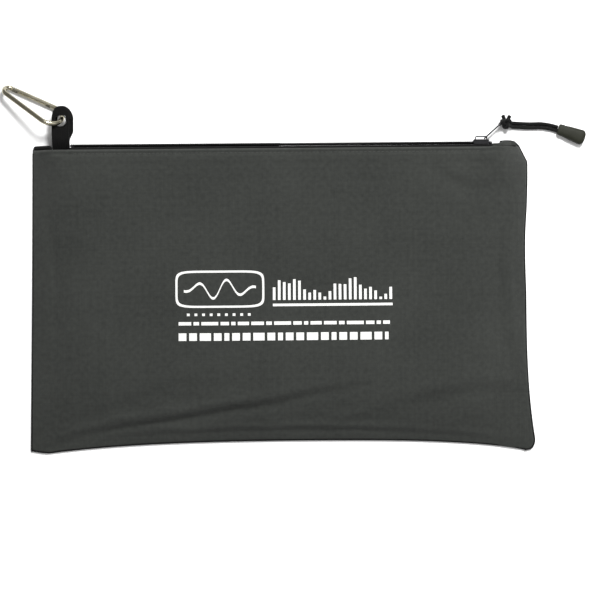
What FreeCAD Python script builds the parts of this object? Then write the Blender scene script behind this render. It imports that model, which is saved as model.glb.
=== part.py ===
"""A flat zipped tool pouch of 14 by 8.5 inches, lying on its back, with a corded pull and a small carabiner.

Frame: +X along the zip towards its closed end, +Y from the bottom seam to the zip, +Z out of the front panel.
The origin is the middle of the flat face that the pouch lies on. Sizes are in millimetres and degrees.
"""

import FreeCAD
import Part

import math
import os

from FreeCAD import Vector

# ---- pouch ----
POUCH_WIDTH = 355.6
POUCH_HEIGHT = 216.0
CLOTH = 0.8
SEAM_GAP = 0.3
MOUTH_THICKNESS = 13.2
BODY_THICKNESS = 10.6
LIP_EDGE_Y = 106.0
HEM_DEPTH = 10.0
HINGE_Y = -107.0
BOTTOM_MIDDLE_X = 20.0
BOTTOM_MIDDLE_Y = -105.9
SIDE_FLARE = 6.0
LEFT_FLARE = 2.9
CORNER_CUT_X = 6.0
CORNER_CUT_Y = 12.0
FOLD_TOP_Y = 108.8
FOLD_LOW_Z = 6.4
FOLD_WALL = 0.4
END_FOLD = 2.2
CORNER_ROUND = 9.0
SIDE_BOW = 1.0
LEFT_CORNER_LIFT = 2.5
BOW_SQUARE = 0.00012
BOW_RIGHT = 8.9e-9
BOW_LEFT = 3.3e-9
SEAM_SLOPE_BODY = 62.0
SEAM_SLOPE_MOUTH = 14.0
SPREAD_PER_MM = 0.17
TOPSTITCH_DEPTH = 3.2
SEAM_HALF_LENGTH = 150.0
SEAM_LOW = 1.2
SEAM_HIGH = 3.0
BINDING = 0.5
THREAD = 0.3

# ---- zip ----
ZIP_LEFT = -149.5
ZIP_RIGHT = 154.0
TAPE = 0.5
TAPE_LEG = 14.0
TAPE_GAP = 2.8
COIL_HALF_WIDTH = 3.0
COIL_HEIGHT = 2.5
COIL_PITCH = 2.6
TOOTH_WIDTH = 1.0
TOOTH_REACH = 0.55
SPINE_EDGE = 0.7
STOP_LENGTH = 2.2
STOP_HEIGHT = 2.2
FRONT_TAPE_SHORTER = 0.4
SLIDER_X = 145.5
SLIDER_LENGTH = 11.0
SLIDER_WIDTH = 8.4
SLIDER_PLATE = 1.0
SLIDER_GAP = 0.2
SLIDER_RAIL = 0.9
SLIDER_POST = 1.2
SLIDER_WEDGE = 2.0
SLIDER_TAIL = 6.0
POST_BACK = 3.6
POST_FRONT = 0.4
BRIDGE_LENGTH = 9.0
BRIDGE_HEIGHT = 2.6
BRIDGE_STRAP = 0.8
BRIDGE_WIDTH = 1.7
BRIDGE_ROUND = 1.6

# ---- pull ----
WIRE = 1.1
WIRE_LOOP_WIDTH = 5.4
WIRE_LOOP_LENGTH = 16.0
WIRE_ANGLE = 42.0
PIVOT_X = SLIDER_X + 2.6
PIVOT_ABOVE_PLATE = 0.85
CORD = 2.6
CORD_APART = 2.8
CORD_ROUTE = [(168.2, 120.9), (180.0, 119.9), (192.5, 120.5), (201.6, 117.6)]
KNOT_X = 163.8
KNOT_Y = 121.9
KNOT_RADIUS = 4.4
KNOT_HOLLOW = 3.2
TAIL_LENGTH = 2.4
TAIL_ANGLES = (112, 62)
BEND_SHARE = 0.45
GRIP_START = (201.4, 117.7)
GRIP_ANGLE = -20.5
GRIP_LENGTH = 20.5
GRIP_NECK = 7.6
GRIP_WIDTH = 11.2
GRIP_THICKNESS = 6.0
GRIP_CORNER = 3.4
GRIP_EDGE = 1.1

# ---- tab and eyelet ----
TAB_X = -156.2
TAB_WIDTH = 12.6
TAB_TOP_Y = 137.0
TAB_CORNER = 2.4
TAB_ROOT = 4.0
WEBBING = 0.9
WEBBING_GAP = 0.1
TAB_RISE_Y = 111.5
EYELET_Y = 125.6
EYELET_HOLE = 3.9
EYELET_FLANGE = 5.1
EYELET_SHEET = 0.4

# ---- carabiner ----
ROD = 3.5
CARABINER_LENGTH = 50.8
CARABINER_WIDE = 22.5
CARABINER_NARROW = 11.5
CARABINER_TURN = 149.4
CARABINER_TILT = 47.6
FLOOR_GAP = 0.05
GATE_BORE = 1.9
TONGUE = 1.2
SLOT_GAP = 0.15
PIN = 1.0
PIN_LENGTH = 3.1
HINGE_INSET = 2.8
NOSE_INSET = 2.6
GATE_OVERHANG = 1.75
LATCH_INSET = 1.7
SHOULDER = 2.4
EYE_RADIUS = 1.95
NOTCH_HALF = 0.62
BORE_DEPTH = 15.0
PLUNGER = 1.7
PLUNGER_LENGTH = 2.7
PLUNGER_START = 2.1
SPRING_OUTER = 1.76
SPRING_INNER = 1.0
SPRING_LENGTH = 10.9
SPRING_START = 4.9

# ---- worked out ----
ZIP_Z = MOUTH_THICKNESS / 2
TAPE_Y = LIP_EDGE_Y
COIL_Y = TAPE_Y + TAPE
COIL_TOP_Y = COIL_Y + COIL_HEIGHT
HALF_WIDTH = POUCH_WIDTH / 2
HALF_HEIGHT = POUCH_HEIGHT / 2
TAB_THICKNESS = 2 * WEBBING + WEBBING_GAP
PLATE_TOP_Y = COIL_TOP_Y + SLIDER_GAP + SLIDER_PLATE
PIVOT_Y = PLATE_TOP_Y + PIVOT_ABOVE_PLATE
WIDE_RADIUS = (CARABINER_WIDE - ROD) / 2
NARROW_RADIUS = (CARABINER_NARROW - ROD) / 2
CENTRES = CARABINER_LENGTH - ROD - WIDE_RADIUS - NARROW_RADIUS
TAPER = math.asin((WIDE_RADIUS - NARROW_RADIUS) / CENTRES)
LEAN = math.sin(math.radians(CARABINER_TILT))
PITCH = math.atan((WIDE_RADIUS - NARROW_RADIUS) * LEAN / CENTRES)
DROP = WIDE_RADIUS * (math.sin(PITCH) + math.hypot(math.sin(PITCH), LEAN * math.cos(PITCH)))
EYELET_Z = DROP + ROD / 2 + FLOOR_GAP
X_AXIS = Vector(1, 0, 0)
Y_AXIS = Vector(0, 1, 0)
Z_AXIS = Vector(0, 0, 1)


def block(x0, x1, y0, y1, z0, z1):
    """A box between two corners."""
    return Part.makeBox(x1 - x0, y1 - y0, z1 - z0, Vector(x0, y0, z0))


def polygon(points):
    """A closed flat face through the points."""
    return Part.Face(Part.makePolygon(list(points) + [points[0]]))


def arc(a, middle, b):
    """An edge through three points on a circle."""
    return Part.Arc(Vector(*a), Vector(*middle), Vector(*b)).toShape()


def line(a, b):
    """A straight edge."""
    return Part.LineSegment(Vector(*a), Vector(*b)).toShape()


def ramp(distance, width):
    """0 at a seam, rising like the side of a dome to 1 at width from it."""
    share = min(max(distance / width, 0.0), 1.0)
    return 1.0 - (1.0 - share) ** 2


# ---- cloth panels ----


def bottom_y(x):
    """The bottom seam bows up in the middle, because the two panels stand apart there."""
    away = x - BOTTOM_MIDDLE_X
    steep = BOW_RIGHT if away > 0 else BOW_LEFT
    return BOTTOM_MIDDLE_Y - BOW_SQUARE * away**2 - steep * away**4


def side_x(y, sign):
    """The side seams: slanted a little on the left, flared towards the bottom corner on the right."""
    if sign < 0:
        down = min(max((LIP_EDGE_Y - y) / POUCH_HEIGHT, 0.0), 1.0)
        return -(HALF_WIDTH + LEFT_FLARE * down**1.3)
    low = max(0.0, -y / HALF_HEIGHT)
    return HALF_WIDTH + SIDE_FLARE * low**3


def outline():
    """The pouch's outline at its seams: bowed at the bottom and the right, cut at the zip's closed end."""
    left_top = (-HALF_WIDTH, LIP_EDGE_Y, 0)
    left_low = (side_x(-HALF_HEIGHT, -1), bottom_y(-HALF_WIDTH) + LEFT_CORNER_LIFT, 0)
    low_left = (CORNER_ROUND - HALF_WIDTH, bottom_y(CORNER_ROUND - HALF_WIDTH), 0)
    flare_x = side_x(-HALF_HEIGHT, 1)
    low_right = (flare_x - CORNER_ROUND, bottom_y(flare_x - CORNER_ROUND), 0)
    right_low = (flare_x, low_right[1] + CORNER_ROUND, 0)
    bulge = CORNER_ROUND * (1 - math.sqrt(0.5))
    corner = (right_low[0] - bulge, low_right[1] + bulge, 0)
    right_top = (HALF_WIDTH, LIP_EDGE_Y - CORNER_CUT_Y, 0)
    top_right = (HALF_WIDTH - CORNER_CUT_X, LIP_EDGE_Y, 0)
    bow = Part.BSplineCurve()
    steps = [low_left[0] + (low_right[0] - low_left[0]) * i / 10 for i in range(11)]
    bow.interpolate([Vector(x, bottom_y(x), 0) for x in steps])
    edges = [
        line(left_top, left_low),
        line(left_low, low_left),
        bow.toShape(),
        arc(low_right, corner, right_low),
        arc(right_low, (HALF_WIDTH - SIDE_BOW, 0, 0), right_top),
        line(right_top, top_right),
        line(top_right, left_top),
    ]
    return Part.Wire(edges)


def back_panel():
    """A flat sheet with its top edge folded in as a hem."""
    sheet = Part.Face(outline()).extrude(Z_AXIS * CLOTH)
    hem = block(3 - HALF_WIDTH, ZIP_RIGHT + 6, LIP_EDGE_Y - HEM_DEPTH, LIP_EDGE_Y, CLOTH / 2, 2 * CLOTH)
    return sheet.fuse(hem).removeSplitter()


def front_height(x, y):
    """Height of the front panel's outer face: low at the three seams, full at the mouth."""
    toward_mouth = min(max((y + HALF_HEIGHT) / POUCH_HEIGHT, 0.0), 1.0)
    slope = SEAM_SLOPE_BODY + (SEAM_SLOPE_MOUTH - SEAM_SLOPE_BODY) * toward_mouth**3
    slump = math.sin(math.pi * toward_mouth) ** 2
    full = MOUTH_THICKNESS - (MOUTH_THICKNESS - BODY_THICKNESS) * slump
    below_hinge = max(0.0, HINGE_Y - y)
    seam = 2 * CLOTH + SEAM_GAP + SPREAD_PER_MM * below_hinge
    rise = ramp(x - side_x(y, -1), slope) * ramp(side_x(y, 1) - x, slope + CORNER_CUT_X)
    rise *= ramp(y - bottom_y(x), SEAM_SLOPE_BODY)
    return seam + (full - seam) * rise


def front_panel():
    """A crowned sheet through a grid of heights, with the mouth's hem under its top edge."""
    columns, rows = 25, 17
    grid = []
    for i in range(columns):
        across = -math.cos(math.pi * i / (columns - 1))
        column = []
        for j in range(rows):
            up = (1 - math.cos(math.pi * j / (rows - 1))) / 2
            x = across * HALF_WIDTH
            low = bottom_y(x)
            y = low + (LIP_EDGE_Y - low) * up
            x = side_x(y, 1 if x > 0 else -1) * abs(across)
            column.append(Vector(x, y, front_height(x, y)))
        grid.append(column)
    surface = Part.BSplineSurface()
    surface.interpolate(grid)
    sheet = surface.toShape().extrude(Z_AXIS * -CLOTH)
    trim = Part.Face(outline()).extrude(Z_AXIS * (MOUTH_THICKNESS + 2))
    sheet = sheet.common(trim)
    hem_top = MOUTH_THICKNESS - CLOTH / 2
    hem = block(
        ZIP_LEFT + 4, ZIP_RIGHT - 8, LIP_EDGE_Y - HEM_DEPTH, LIP_EDGE_Y, hem_top - 1.5 * CLOTH, hem_top
    )
    return sheet.fuse(hem).removeSplitter()


# ---- zip ----


def zip_side(sign):
    """Heights out from the middle of the zip: +1 on the front side, -1 on the back side."""
    return lambda away: ZIP_Z + sign * away


def tape_ends(sign):
    """Where a tape starts and ends along the zip."""
    return ZIP_LEFT, ZIP_RIGHT if sign < 0 else ZIP_RIGHT - FRONT_TAPE_SHORTER


def tape(sign):
    """The flat leg of a woven tape, sewn behind the hem."""
    side = zip_side(sign)
    hem_face = ZIP_Z - 2 * CLOTH
    low, high = sorted([side(hem_face), side(hem_face - TAPE)])
    left, right = tape_ends(sign)
    return block(left, right, TAPE_Y - TAPE_LEG, TAPE_Y, low, high)


def tape_edge(sign):
    """The tape's turned edge, which stands across the mouth and carries the coil."""
    side = zip_side(sign)
    low, high = sorted([side(ZIP_Z - 2 * CLOTH), side(TAPE_GAP / 2)])
    left, right = tape_ends(sign)
    return block(left, right, TAPE_Y, TAPE_Y + TAPE, low, high)


def coil(sign):
    """Half of the nylon coil: a spine with teeth that reach between the other half's teeth."""
    side = zip_side(sign)
    start = ZIP_LEFT + STOP_LENGTH + 1.6
    count = int((SLIDER_X - start) / COIL_PITCH)
    shift = 0.0 if sign < 0 else COIL_PITCH / 2
    points = [Vector(start, COIL_Y, side(COIL_HALF_WIDTH)), Vector(start, COIL_Y, side(SPINE_EDGE))]
    for i in range(count):
        left = start + 0.4 + shift + i * COIL_PITCH
        for x, away in (
            (left, SPINE_EDGE),
            (left, -TOOTH_REACH),
            (left + TOOTH_WIDTH, -TOOTH_REACH),
            (left + TOOTH_WIDTH, SPINE_EDGE),
        ):
            points.append(Vector(x, COIL_Y, side(away)))
    end = start + count * COIL_PITCH + 0.4
    points.append(Vector(end, COIL_Y, side(SPINE_EDGE)))
    points.append(Vector(end, COIL_Y, side(COIL_HALF_WIDTH)))
    return polygon(points).extrude(Y_AXIS * COIL_HEIGHT)


def bottom_stop():
    """A metal clip across the start of both coils."""
    left = ZIP_LEFT + 0.6
    return block(
        left, left + STOP_LENGTH, COIL_Y, COIL_Y + 2.0, ZIP_Z - COIL_HALF_WIDTH, ZIP_Z + COIL_HALF_WIDTH
    )


def top_stop(sign):
    """A metal clip on one tape's edge, against the slider when the zip is closed."""
    side = zip_side(sign)
    low, high = sorted([side(0.9), side(3.0)])
    left = SLIDER_X + SLIDER_LENGTH / 2 + 0.1
    return block(left, left + STOP_LENGTH, COIL_Y, COIL_Y + STOP_HEIGHT, low, high)


def slider_body():
    """Two plates joined by a thin post between the tapes, with rails that hold the coil against the tape."""
    left = SLIDER_X - SLIDER_LENGTH / 2
    right = SLIDER_X + SLIDER_LENGTH / 2
    half = SLIDER_WIDTH / 2
    top = PLATE_TOP_Y - SLIDER_PLATE
    rail_z = COIL_HALF_WIDTH + SLIDER_GAP
    low = TAPE_Y - SLIDER_GAP
    body = block(left, right, top, PLATE_TOP_Y, ZIP_Z - half, ZIP_Z + half)
    body = body.makeFillet(0.5, [e for e in body.Edges if abs(e.CenterOfMass.y - PLATE_TOP_Y) < 0.01])
    for sign in (-1, 1):
        near, far = sorted([ZIP_Z + sign * rail_z, ZIP_Z + sign * (rail_z + SLIDER_RAIL)])
        body = body.fuse(block(left, right, COIL_Y + SLIDER_GAP, top + 0.1, near, far))
    tail = SLIDER_TAIL / 2
    body = body.fuse(block(left, right, low - SLIDER_PLATE, low, ZIP_Z - tail, ZIP_Z + tail))
    back, front = right - POST_BACK, right - POST_FRONT
    for width, start in ((SLIDER_POST, low - 0.1), (SLIDER_WEDGE, COIL_Y + SLIDER_GAP)):
        body = body.fuse(block(back, front, start, top + 0.1, ZIP_Z - width / 2, ZIP_Z + width / 2))
    return body.removeSplitter()


def slider_bridge():
    """The arch on the slider that the wire pull hangs from."""
    left = SLIDER_X - BRIDGE_LENGTH / 2
    right = SLIDER_X + BRIDGE_LENGTH / 2
    low, high = ZIP_Z - BRIDGE_WIDTH / 2, ZIP_Z + BRIDGE_WIDTH / 2
    outer = block(left, right, PLATE_TOP_Y, PLATE_TOP_Y + BRIDGE_HEIGHT, low, high)
    crown = [e for e in outer.Edges if e.CenterOfMass.y > PLATE_TOP_Y + BRIDGE_HEIGHT - 0.01]
    ends = [e for e in crown if abs(e.CenterOfMass.x - SLIDER_X) > BRIDGE_LENGTH / 2 - 0.01]
    outer = outer.makeFillet(BRIDGE_ROUND, ends)
    roof = PLATE_TOP_Y + BRIDGE_HEIGHT - BRIDGE_STRAP
    inner = block(
        left + BRIDGE_STRAP, right - BRIDGE_STRAP, PLATE_TOP_Y - 1, roof, ZIP_Z - 5, ZIP_Z + 5
    )
    return outer.cut(inner)


# ---- pull ----


def wire_route():
    """The wire loop's centre line in its own frame: x away from the slider, y across it."""
    half = (WIRE_LOOP_WIDTH - WIRE) / 2
    far = WIRE_LOOP_LENGTH
    near = half
    edges = [
        line((near, -half, 0), (far - half, -half, 0)),
        arc((far - half, -half, 0), (far, 0, 0), (far - half, half, 0)),
        line((far - half, half, 0), (near, half, 0)),
        arc((near, half, 0), (0, 0, 0), (near, -half, 0)),
    ]
    return Part.Wire(edges)


def sweep(route, start, direction, diameter):
    """A round bar along a route."""
    circle = Part.Wire(Part.makeCircle(diameter / 2, Vector(*start), Vector(*direction)))
    return route.makePipeShell([circle], True, False)


def pull_loop():
    """A stiff wire loop through the slider's bridge, standing across the zip."""
    half = (WIRE_LOOP_WIDTH - WIRE) / 2
    loop = sweep(wire_route(), (half, -half, 0), (1, 0, 0), WIRE)
    loop.rotate(Vector(), X_AXIS, 90)
    loop.rotate(Vector(), Z_AXIS, WIRE_ANGLE)
    loop.translate(Vector(PIVOT_X, PIVOT_Y, ZIP_Z))
    return loop


def cord_knot():
    """An overhand knot pulled tight around the end of the wire loop."""
    wire_end = Vector(
        PIVOT_X + WIRE_LOOP_LENGTH * math.cos(math.radians(WIRE_ANGLE)),
        PIVOT_Y + WIRE_LOOP_LENGTH * math.sin(math.radians(WIRE_ANGLE)),
        ZIP_Z,
    )
    ball = Part.makeSphere(KNOT_RADIUS, Vector(KNOT_X, KNOT_Y, KNOT_RADIUS + FLOOR_GAP))
    slot = Part.makeSphere(KNOT_HOLLOW, wire_end)
    return ball.cut(slot)


def cord_tail(angle):
    """One cut end of the cord, standing out of the knot."""
    direction = Vector(math.cos(math.radians(angle)), math.sin(math.radians(angle)), 0)
    start = Vector(KNOT_X, KNOT_Y, KNOT_RADIUS) + direction * (KNOT_RADIUS - 0.6)
    tail = Part.makeCylinder(CORD / 2, TAIL_LENGTH, start, direction)
    return tail.cut(cord_knot())


def cord_strand(side):
    """One strand of the doubled cord: straight runs joined by tangent arcs, lying on the table."""
    shift = side * CORD_APART / 2
    height = CORD / 2 + FLOOR_GAP
    points = [Vector(x, y + shift, height) for x, y in CORD_ROUTE]
    edges = []
    here = points[0]
    for i in range(1, len(points) - 1):
        before = points[i] - points[i - 1]
        after = points[i + 1] - points[i]
        turn = before.getAngle(after)
        shorter = min(before.Length, after.Length)
        back = BEND_SHARE * shorter
        radius = back / math.tan(turn / 2)
        enter = points[i] - before.normalize() * back
        leave = points[i] + after.normalize() * back
        bisector = (enter + leave) * 0.5 - points[i]
        middle = points[i] + bisector.normalize() * (radius / math.cos(turn / 2) - radius)
        print(f"strand {side:+d} arc {i}: radius {radius:.1f} mm, turn {math.degrees(turn):.1f} degrees")
        edges.append(Part.LineSegment(here, enter).toShape())
        edges.append(Part.Arc(enter, middle, leave).toShape())
        here = leave
    edges.append(Part.LineSegment(here, points[-1]).toShape())
    route = Part.Wire(edges)
    direction = points[1] - points[0]
    tube = sweep(route, points[0], direction, CORD)
    share = tube.Volume / (math.pi * CORD**2 / 4 * route.Length)
    print(f"strand {side:+d}: length {route.Length:.1f} mm, volume over section times length {share:.4f}")
    return tube.cut(cord_knot())


def cord_grip():
    """The moulded end of the cord, flared away from it."""
    neck, half = GRIP_NECK / 2, GRIP_WIDTH / 2
    face = polygon(
        [
            Vector(0, -neck, 0),
            Vector(GRIP_LENGTH, -half, 0),
            Vector(GRIP_LENGTH, half, 0),
            Vector(0, neck, 0),
        ]
    )
    grip = face.extrude(Z_AXIS * GRIP_THICKNESS)
    upright = [e for e in grip.Edges if abs(e.Vertexes[0].Z - e.Vertexes[-1].Z) > 1]
    far = [e for e in upright if e.CenterOfMass.x > 1]
    grip = grip.makeFillet(GRIP_CORNER, far)
    rims = [e for e in grip.Edges if abs(e.Vertexes[0].Z - e.Vertexes[-1].Z) < 0.01]
    grip = grip.makeFillet(GRIP_EDGE, rims)
    grip.rotate(Vector(), Z_AXIS, GRIP_ANGLE)
    grip.translate(Vector(GRIP_START[0], GRIP_START[1], FLOOR_GAP))
    for side in (-1, 1):
        grip = grip.cut(cord_strand(side))
    return grip


# ---- tab and eyelet ----


def zip_end_fold():
    """The folded cloth end that closes the mouth to the left of the tab."""
    left = -HALF_WIDTH + 0.6
    right = TAB_X - TAB_WIDTH / 2 - 0.3
    points = [
        Vector(left, LIP_EDGE_Y, CLOTH),
        Vector(right, LIP_EDGE_Y, CLOTH),
        Vector(right, LIP_EDGE_Y, MOUTH_THICKNESS - 1.6),
        Vector(left + 6.0, LIP_EDGE_Y, 7.2),
        Vector(left, LIP_EDGE_Y, 2.2),
    ]
    return polygon(points).extrude(Y_AXIS * END_FOLD)


def zip_close_fold():
    """The front lip's cloth past the zip's closed end: a wall down to the back panel and a raised fold.

    The fold starts above the pull's moulded end, which passes under it as the slider travels.
    """
    left = ZIP_RIGHT + 4.5
    right = HALF_WIDTH - CORNER_CUT_X - 0.6
    crest = [
        Vector(right, LIP_EDGE_Y, 7.0),
        Vector((left + right) / 2, LIP_EDGE_Y, 10.0),
        Vector(left, LIP_EDGE_Y, 11.6),
    ]
    wall = [Vector(left, LIP_EDGE_Y, 2 * CLOTH), Vector(right, LIP_EDGE_Y, 2 * CLOTH)]
    fold = [Vector(left, LIP_EDGE_Y, FOLD_LOW_Z), Vector(right, LIP_EDGE_Y, FOLD_LOW_Z)]
    wall = polygon(wall + crest).extrude(Y_AXIS * FOLD_WALL)
    fold = polygon(fold + crest).extrude(Y_AXIS * (FOLD_TOP_Y - LIP_EDGE_Y))
    return wall.fuse(fold).removeSplitter()


def strap_profile(low, thick, end_y):
    """A strip's side view: flat on the back hem, up a slope, then level at the eyelet's height."""
    root = 2 * CLOTH + low
    level = EYELET_Z - TAB_THICKNESS / 2 + low
    y = LIP_EDGE_Y - HEM_DEPTH + 1
    points = [
        Vector(0, y, root),
        Vector(0, y + TAB_ROOT, root),
        Vector(0, TAB_RISE_Y, level),
        Vector(0, end_y, level),
        Vector(0, end_y, level + thick),
        Vector(0, TAB_RISE_Y - 0.4 * thick, level + thick),
        Vector(0, y + TAB_ROOT - 0.4 * thick, root + thick),
        Vector(0, y, root + thick),
    ]
    return polygon(points)


def tab_webbing():
    """A strip of webbing folded double, with a round hole for the eyelet."""
    lower = strap_profile(0, WEBBING, TAB_TOP_Y - 0.5)
    upper = strap_profile(WEBBING + WEBBING_GAP, WEBBING, TAB_TOP_Y - 0.5)
    left = TAB_X - TAB_WIDTH / 2
    tab = None
    for profile in (lower, upper):
        layer = profile.extrude(X_AXIS * TAB_WIDTH)
        layer.translate(Vector(left, 0, 0))
        tab = layer if tab is None else tab.fuse(layer)
    fold = Part.makeCylinder(TAB_THICKNESS / 2, TAB_WIDTH, Vector(left, TAB_TOP_Y - 1.2, EYELET_Z), X_AXIS)
    tab = tab.fuse(fold)
    for sign in (-1, 1):
        edge = TAB_X + sign * TAB_WIDTH / 2
        points = [
            Vector(edge + sign, TAB_TOP_Y + 1, 0),
            Vector(edge - sign * TAB_CORNER, TAB_TOP_Y + 1, 0),
            Vector(edge + sign, TAB_TOP_Y - 1.6 * TAB_CORNER, 0),
        ]
        tab = tab.cut(polygon(points).extrude(Z_AXIS * 30))
    hole = Part.makeCylinder(EYELET_HOLE + EYELET_SHEET, 30, Vector(TAB_X, EYELET_Y, 0))
    return tab.cut(hole).removeSplitter()


def ring(outer, inner, low, high):
    """A flat ring around the eyelet's axis."""
    centre = Vector(TAB_X, EYELET_Y, low)
    return Part.makeCylinder(outer, high - low, centre).cut(Part.makeCylinder(inner, high - low, centre))


def eyelet_barrel():
    """The eyelet's front flange and the barrel through the webbing, rolled over the washer."""
    half = TAB_THICKNESS / 2
    barrel = ring(EYELET_HOLE + EYELET_SHEET, EYELET_HOLE, EYELET_Z - half - EYELET_SHEET, EYELET_Z + half)
    flange = ring(EYELET_FLANGE, EYELET_HOLE, EYELET_Z + half, EYELET_Z + half + EYELET_SHEET)
    return barrel.fuse(flange).removeSplitter()


def eyelet_washer():
    """The ring on the back that the barrel is rolled over."""
    half = TAB_THICKNESS / 2
    return ring(EYELET_FLANGE, EYELET_HOLE + EYELET_SHEET, EYELET_Z - half - EYELET_SHEET, EYELET_Z - half)


# ---- carabiner ----


def place_carabiner(shape):
    """From the carabiner's flat frame to its place: leaned over, pitched to the table and turned."""
    shape.rotate(Vector(), X_AXIS, CARABINER_TILT)
    shape.rotate(Vector(), Y_AXIS, math.degrees(PITCH))
    shape.rotate(Vector(), Z_AXIS, CARABINER_TURN)
    shape.translate(Vector(TAB_X, EYELET_Y, EYELET_Z))
    return shape


def tangent_points(side):
    """Where one leg leaves the wide bend and meets the narrow bend."""
    wide = Vector(
        WIDE_RADIUS + WIDE_RADIUS * math.sin(TAPER), side * WIDE_RADIUS * math.cos(TAPER), 0
    )
    narrow = Vector(
        WIDE_RADIUS + CENTRES + NARROW_RADIUS * math.sin(TAPER), side * NARROW_RADIUS * math.cos(TAPER), 0
    )
    return wide, narrow


def gate_frame():
    """The hinge pin's centre, the direction to the nose and the gate's length."""
    wide, narrow = tangent_points(-1)
    along = (wide - narrow).normalize()
    hinge = narrow + along * HINGE_INSET
    length = (wide - hinge).Length - NOSE_INSET
    return hinge, along, length


def place_in_gate(shape):
    """From the gate's frame (x to the nose, y inward) to the carabiner's flat frame, then to its place."""
    hinge, along, _ = gate_frame()
    inward = Vector(-along.y, along.x, 0)
    if inward.y < 0:
        inward = inward * -1
    normal = along.cross(inward)
    matrix = FreeCAD.Matrix(
        along.x, inward.x, normal.x, hinge.x,
        along.y, inward.y, normal.y, hinge.y,
        along.z, inward.z, normal.z, hinge.z,
        0, 0, 0, 1,
    )
    return shape.transformed(matrix, True)


def carabiner_frame():
    """A round rod bent into a pear shape, open along one leg, with a flat tongue at both ends of the gap."""
    wide_low, narrow_low = tangent_points(-1)
    wide_high, narrow_high = tangent_points(1)
    hinge, along, length = gate_frame()
    nose = hinge + along * (length + 0.3)
    shoulder = hinge - along * SHOULDER
    edges = [
        Part.LineSegment(nose, wide_low).toShape(),
        Part.Arc(wide_low, Vector(0, 0, 0), wide_high).toShape(),
        Part.LineSegment(wide_high, narrow_high).toShape(),
        Part.Arc(narrow_high, Vector(CARABINER_LENGTH - ROD, 0, 0), narrow_low).toShape(),
        Part.LineSegment(narrow_low, shoulder).toShape(),
    ]
    rod = sweep(Part.Wire(edges), nose, along, ROD)
    half = TONGUE / 2
    eye = block(-2.8, 2.0, -1.4, 1.4, -half, half).common(
        block(-3, 0, -2, 2, -2, 2).fuse(Part.makeCylinder(EYE_RADIUS, 4, Vector(0, 0, -2)))
    )
    eye = eye.cut(Part.makeCylinder(PIN / 2, 8, Vector(0, 0, -4)))
    tip = block(length - 3.0, length + 0.6, -1.4, 1.2, -half, half)
    notch_x = length - LATCH_INSET
    notch = Part.makeCylinder(PIN / 2 + 0.12, 8, Vector(notch_x, 0, -4))
    notch = notch.fuse(block(notch_x - NOTCH_HALF, notch_x + NOTCH_HALF, 0, 3, -4, 4))
    tip = tip.cut(notch)
    frame = rod.fuse(place_in_gate(eye)).fuse(place_in_gate(tip)).removeSplitter()
    return place_carabiner(frame)


def gate_barrel():
    """The straight gate: a rod with a slot at each end and a blind bore for its spring."""
    length = gate_frame()[2]
    slot = TONGUE / 2 + SLOT_GAP
    barrel = Part.makeCylinder(ROD / 2, length + GATE_OVERHANG, Vector(-GATE_OVERHANG, 0, 0), X_AXIS)
    barrel = barrel.cut(block(-3, 2.6, -3, 3, -slot, slot))
    barrel = barrel.cut(block(length - 3.4, length + 1, -3, 3, -slot, slot))
    barrel = barrel.cut(Part.makeCylinder(GATE_BORE / 2, BORE_DEPTH, X_AXIS, X_AXIS))
    barrel = barrel.cut(Part.makeCylinder(PIN / 2 + 0.04, 8, Vector(0, 0, -4)))
    barrel = barrel.cut(Part.makeCylinder(PIN / 2, 8, Vector(length - LATCH_INSET, 0, -4)))
    return place_carabiner(place_in_gate(barrel))


def cross_pin(x):
    """A pin through the gate's slotted end, at x from the hinge."""
    pin = Part.makeCylinder(PIN / 2, PIN_LENGTH, Vector(x, 0, -PIN_LENGTH / 2))
    return place_carabiner(place_in_gate(pin))


def gate_rivet():
    """The hinge pin through the frame's tongue and the gate."""
    return cross_pin(0)


def latch_pin():
    """The pin across the gate's free end, which rests in the nose's notch."""
    return cross_pin(gate_frame()[2] - LATCH_INSET)


def gate_plunger():
    """The plunger that the spring pushes against the hinge tongue."""
    plunger = Part.makeCylinder(PLUNGER / 2, PLUNGER_LENGTH, X_AXIS * PLUNGER_START, X_AXIS)
    return place_carabiner(place_in_gate(plunger))


def gate_spring():
    """The space of the gate's coil spring, as a sleeve."""
    sleeve = Part.makeCylinder(SPRING_OUTER / 2, SPRING_LENGTH, X_AXIS * SPRING_START, X_AXIS)
    hollow = Part.makeCylinder(SPRING_INNER / 2, SPRING_LENGTH, X_AXIS * SPRING_START, X_AXIS)
    return place_carabiner(place_in_gate(sleeve.cut(hollow)))


# ---- sewing ----


def stitch_row(x0, x1, y, z):
    """A sewn thread line: a thin raised cord along X."""
    return block(x0, x1, y - 0.35, y + 0.35, z, z + THREAD)


def front_topstitch():
    """The thread that holds the front lip down on the zip tape."""
    return stitch_row(ZIP_LEFT + 8, ZIP_RIGHT - 12, LIP_EDGE_Y - TOPSTITCH_DEPTH, MOUTH_THICKNESS + 0.03)


def bar_tack():
    """The dense stitching that fixes the tab to the back hem."""
    y = LIP_EDGE_Y - HEM_DEPTH + 3
    top = 2 * CLOTH + TAB_THICKNESS
    return block(TAB_X - 5, TAB_X + 5, y - 1.0, y + 1.0, top, top + THREAD)


def bottom_seam():
    """The bound edge that joins the two panels along the bottom, inside the pouch."""
    steps = 12
    across = [SEAM_HALF_LENGTH * (2 * i / steps - 1) for i in range(steps + 1)]
    low = [Vector(x, bottom_y(x) + SEAM_LOW, CLOTH) for x in across]
    high = [Vector(x, bottom_y(x) + SEAM_HIGH, CLOTH) for x in reversed(across)]
    return polygon(low + high).extrude(Z_AXIS * BINDING)


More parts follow.
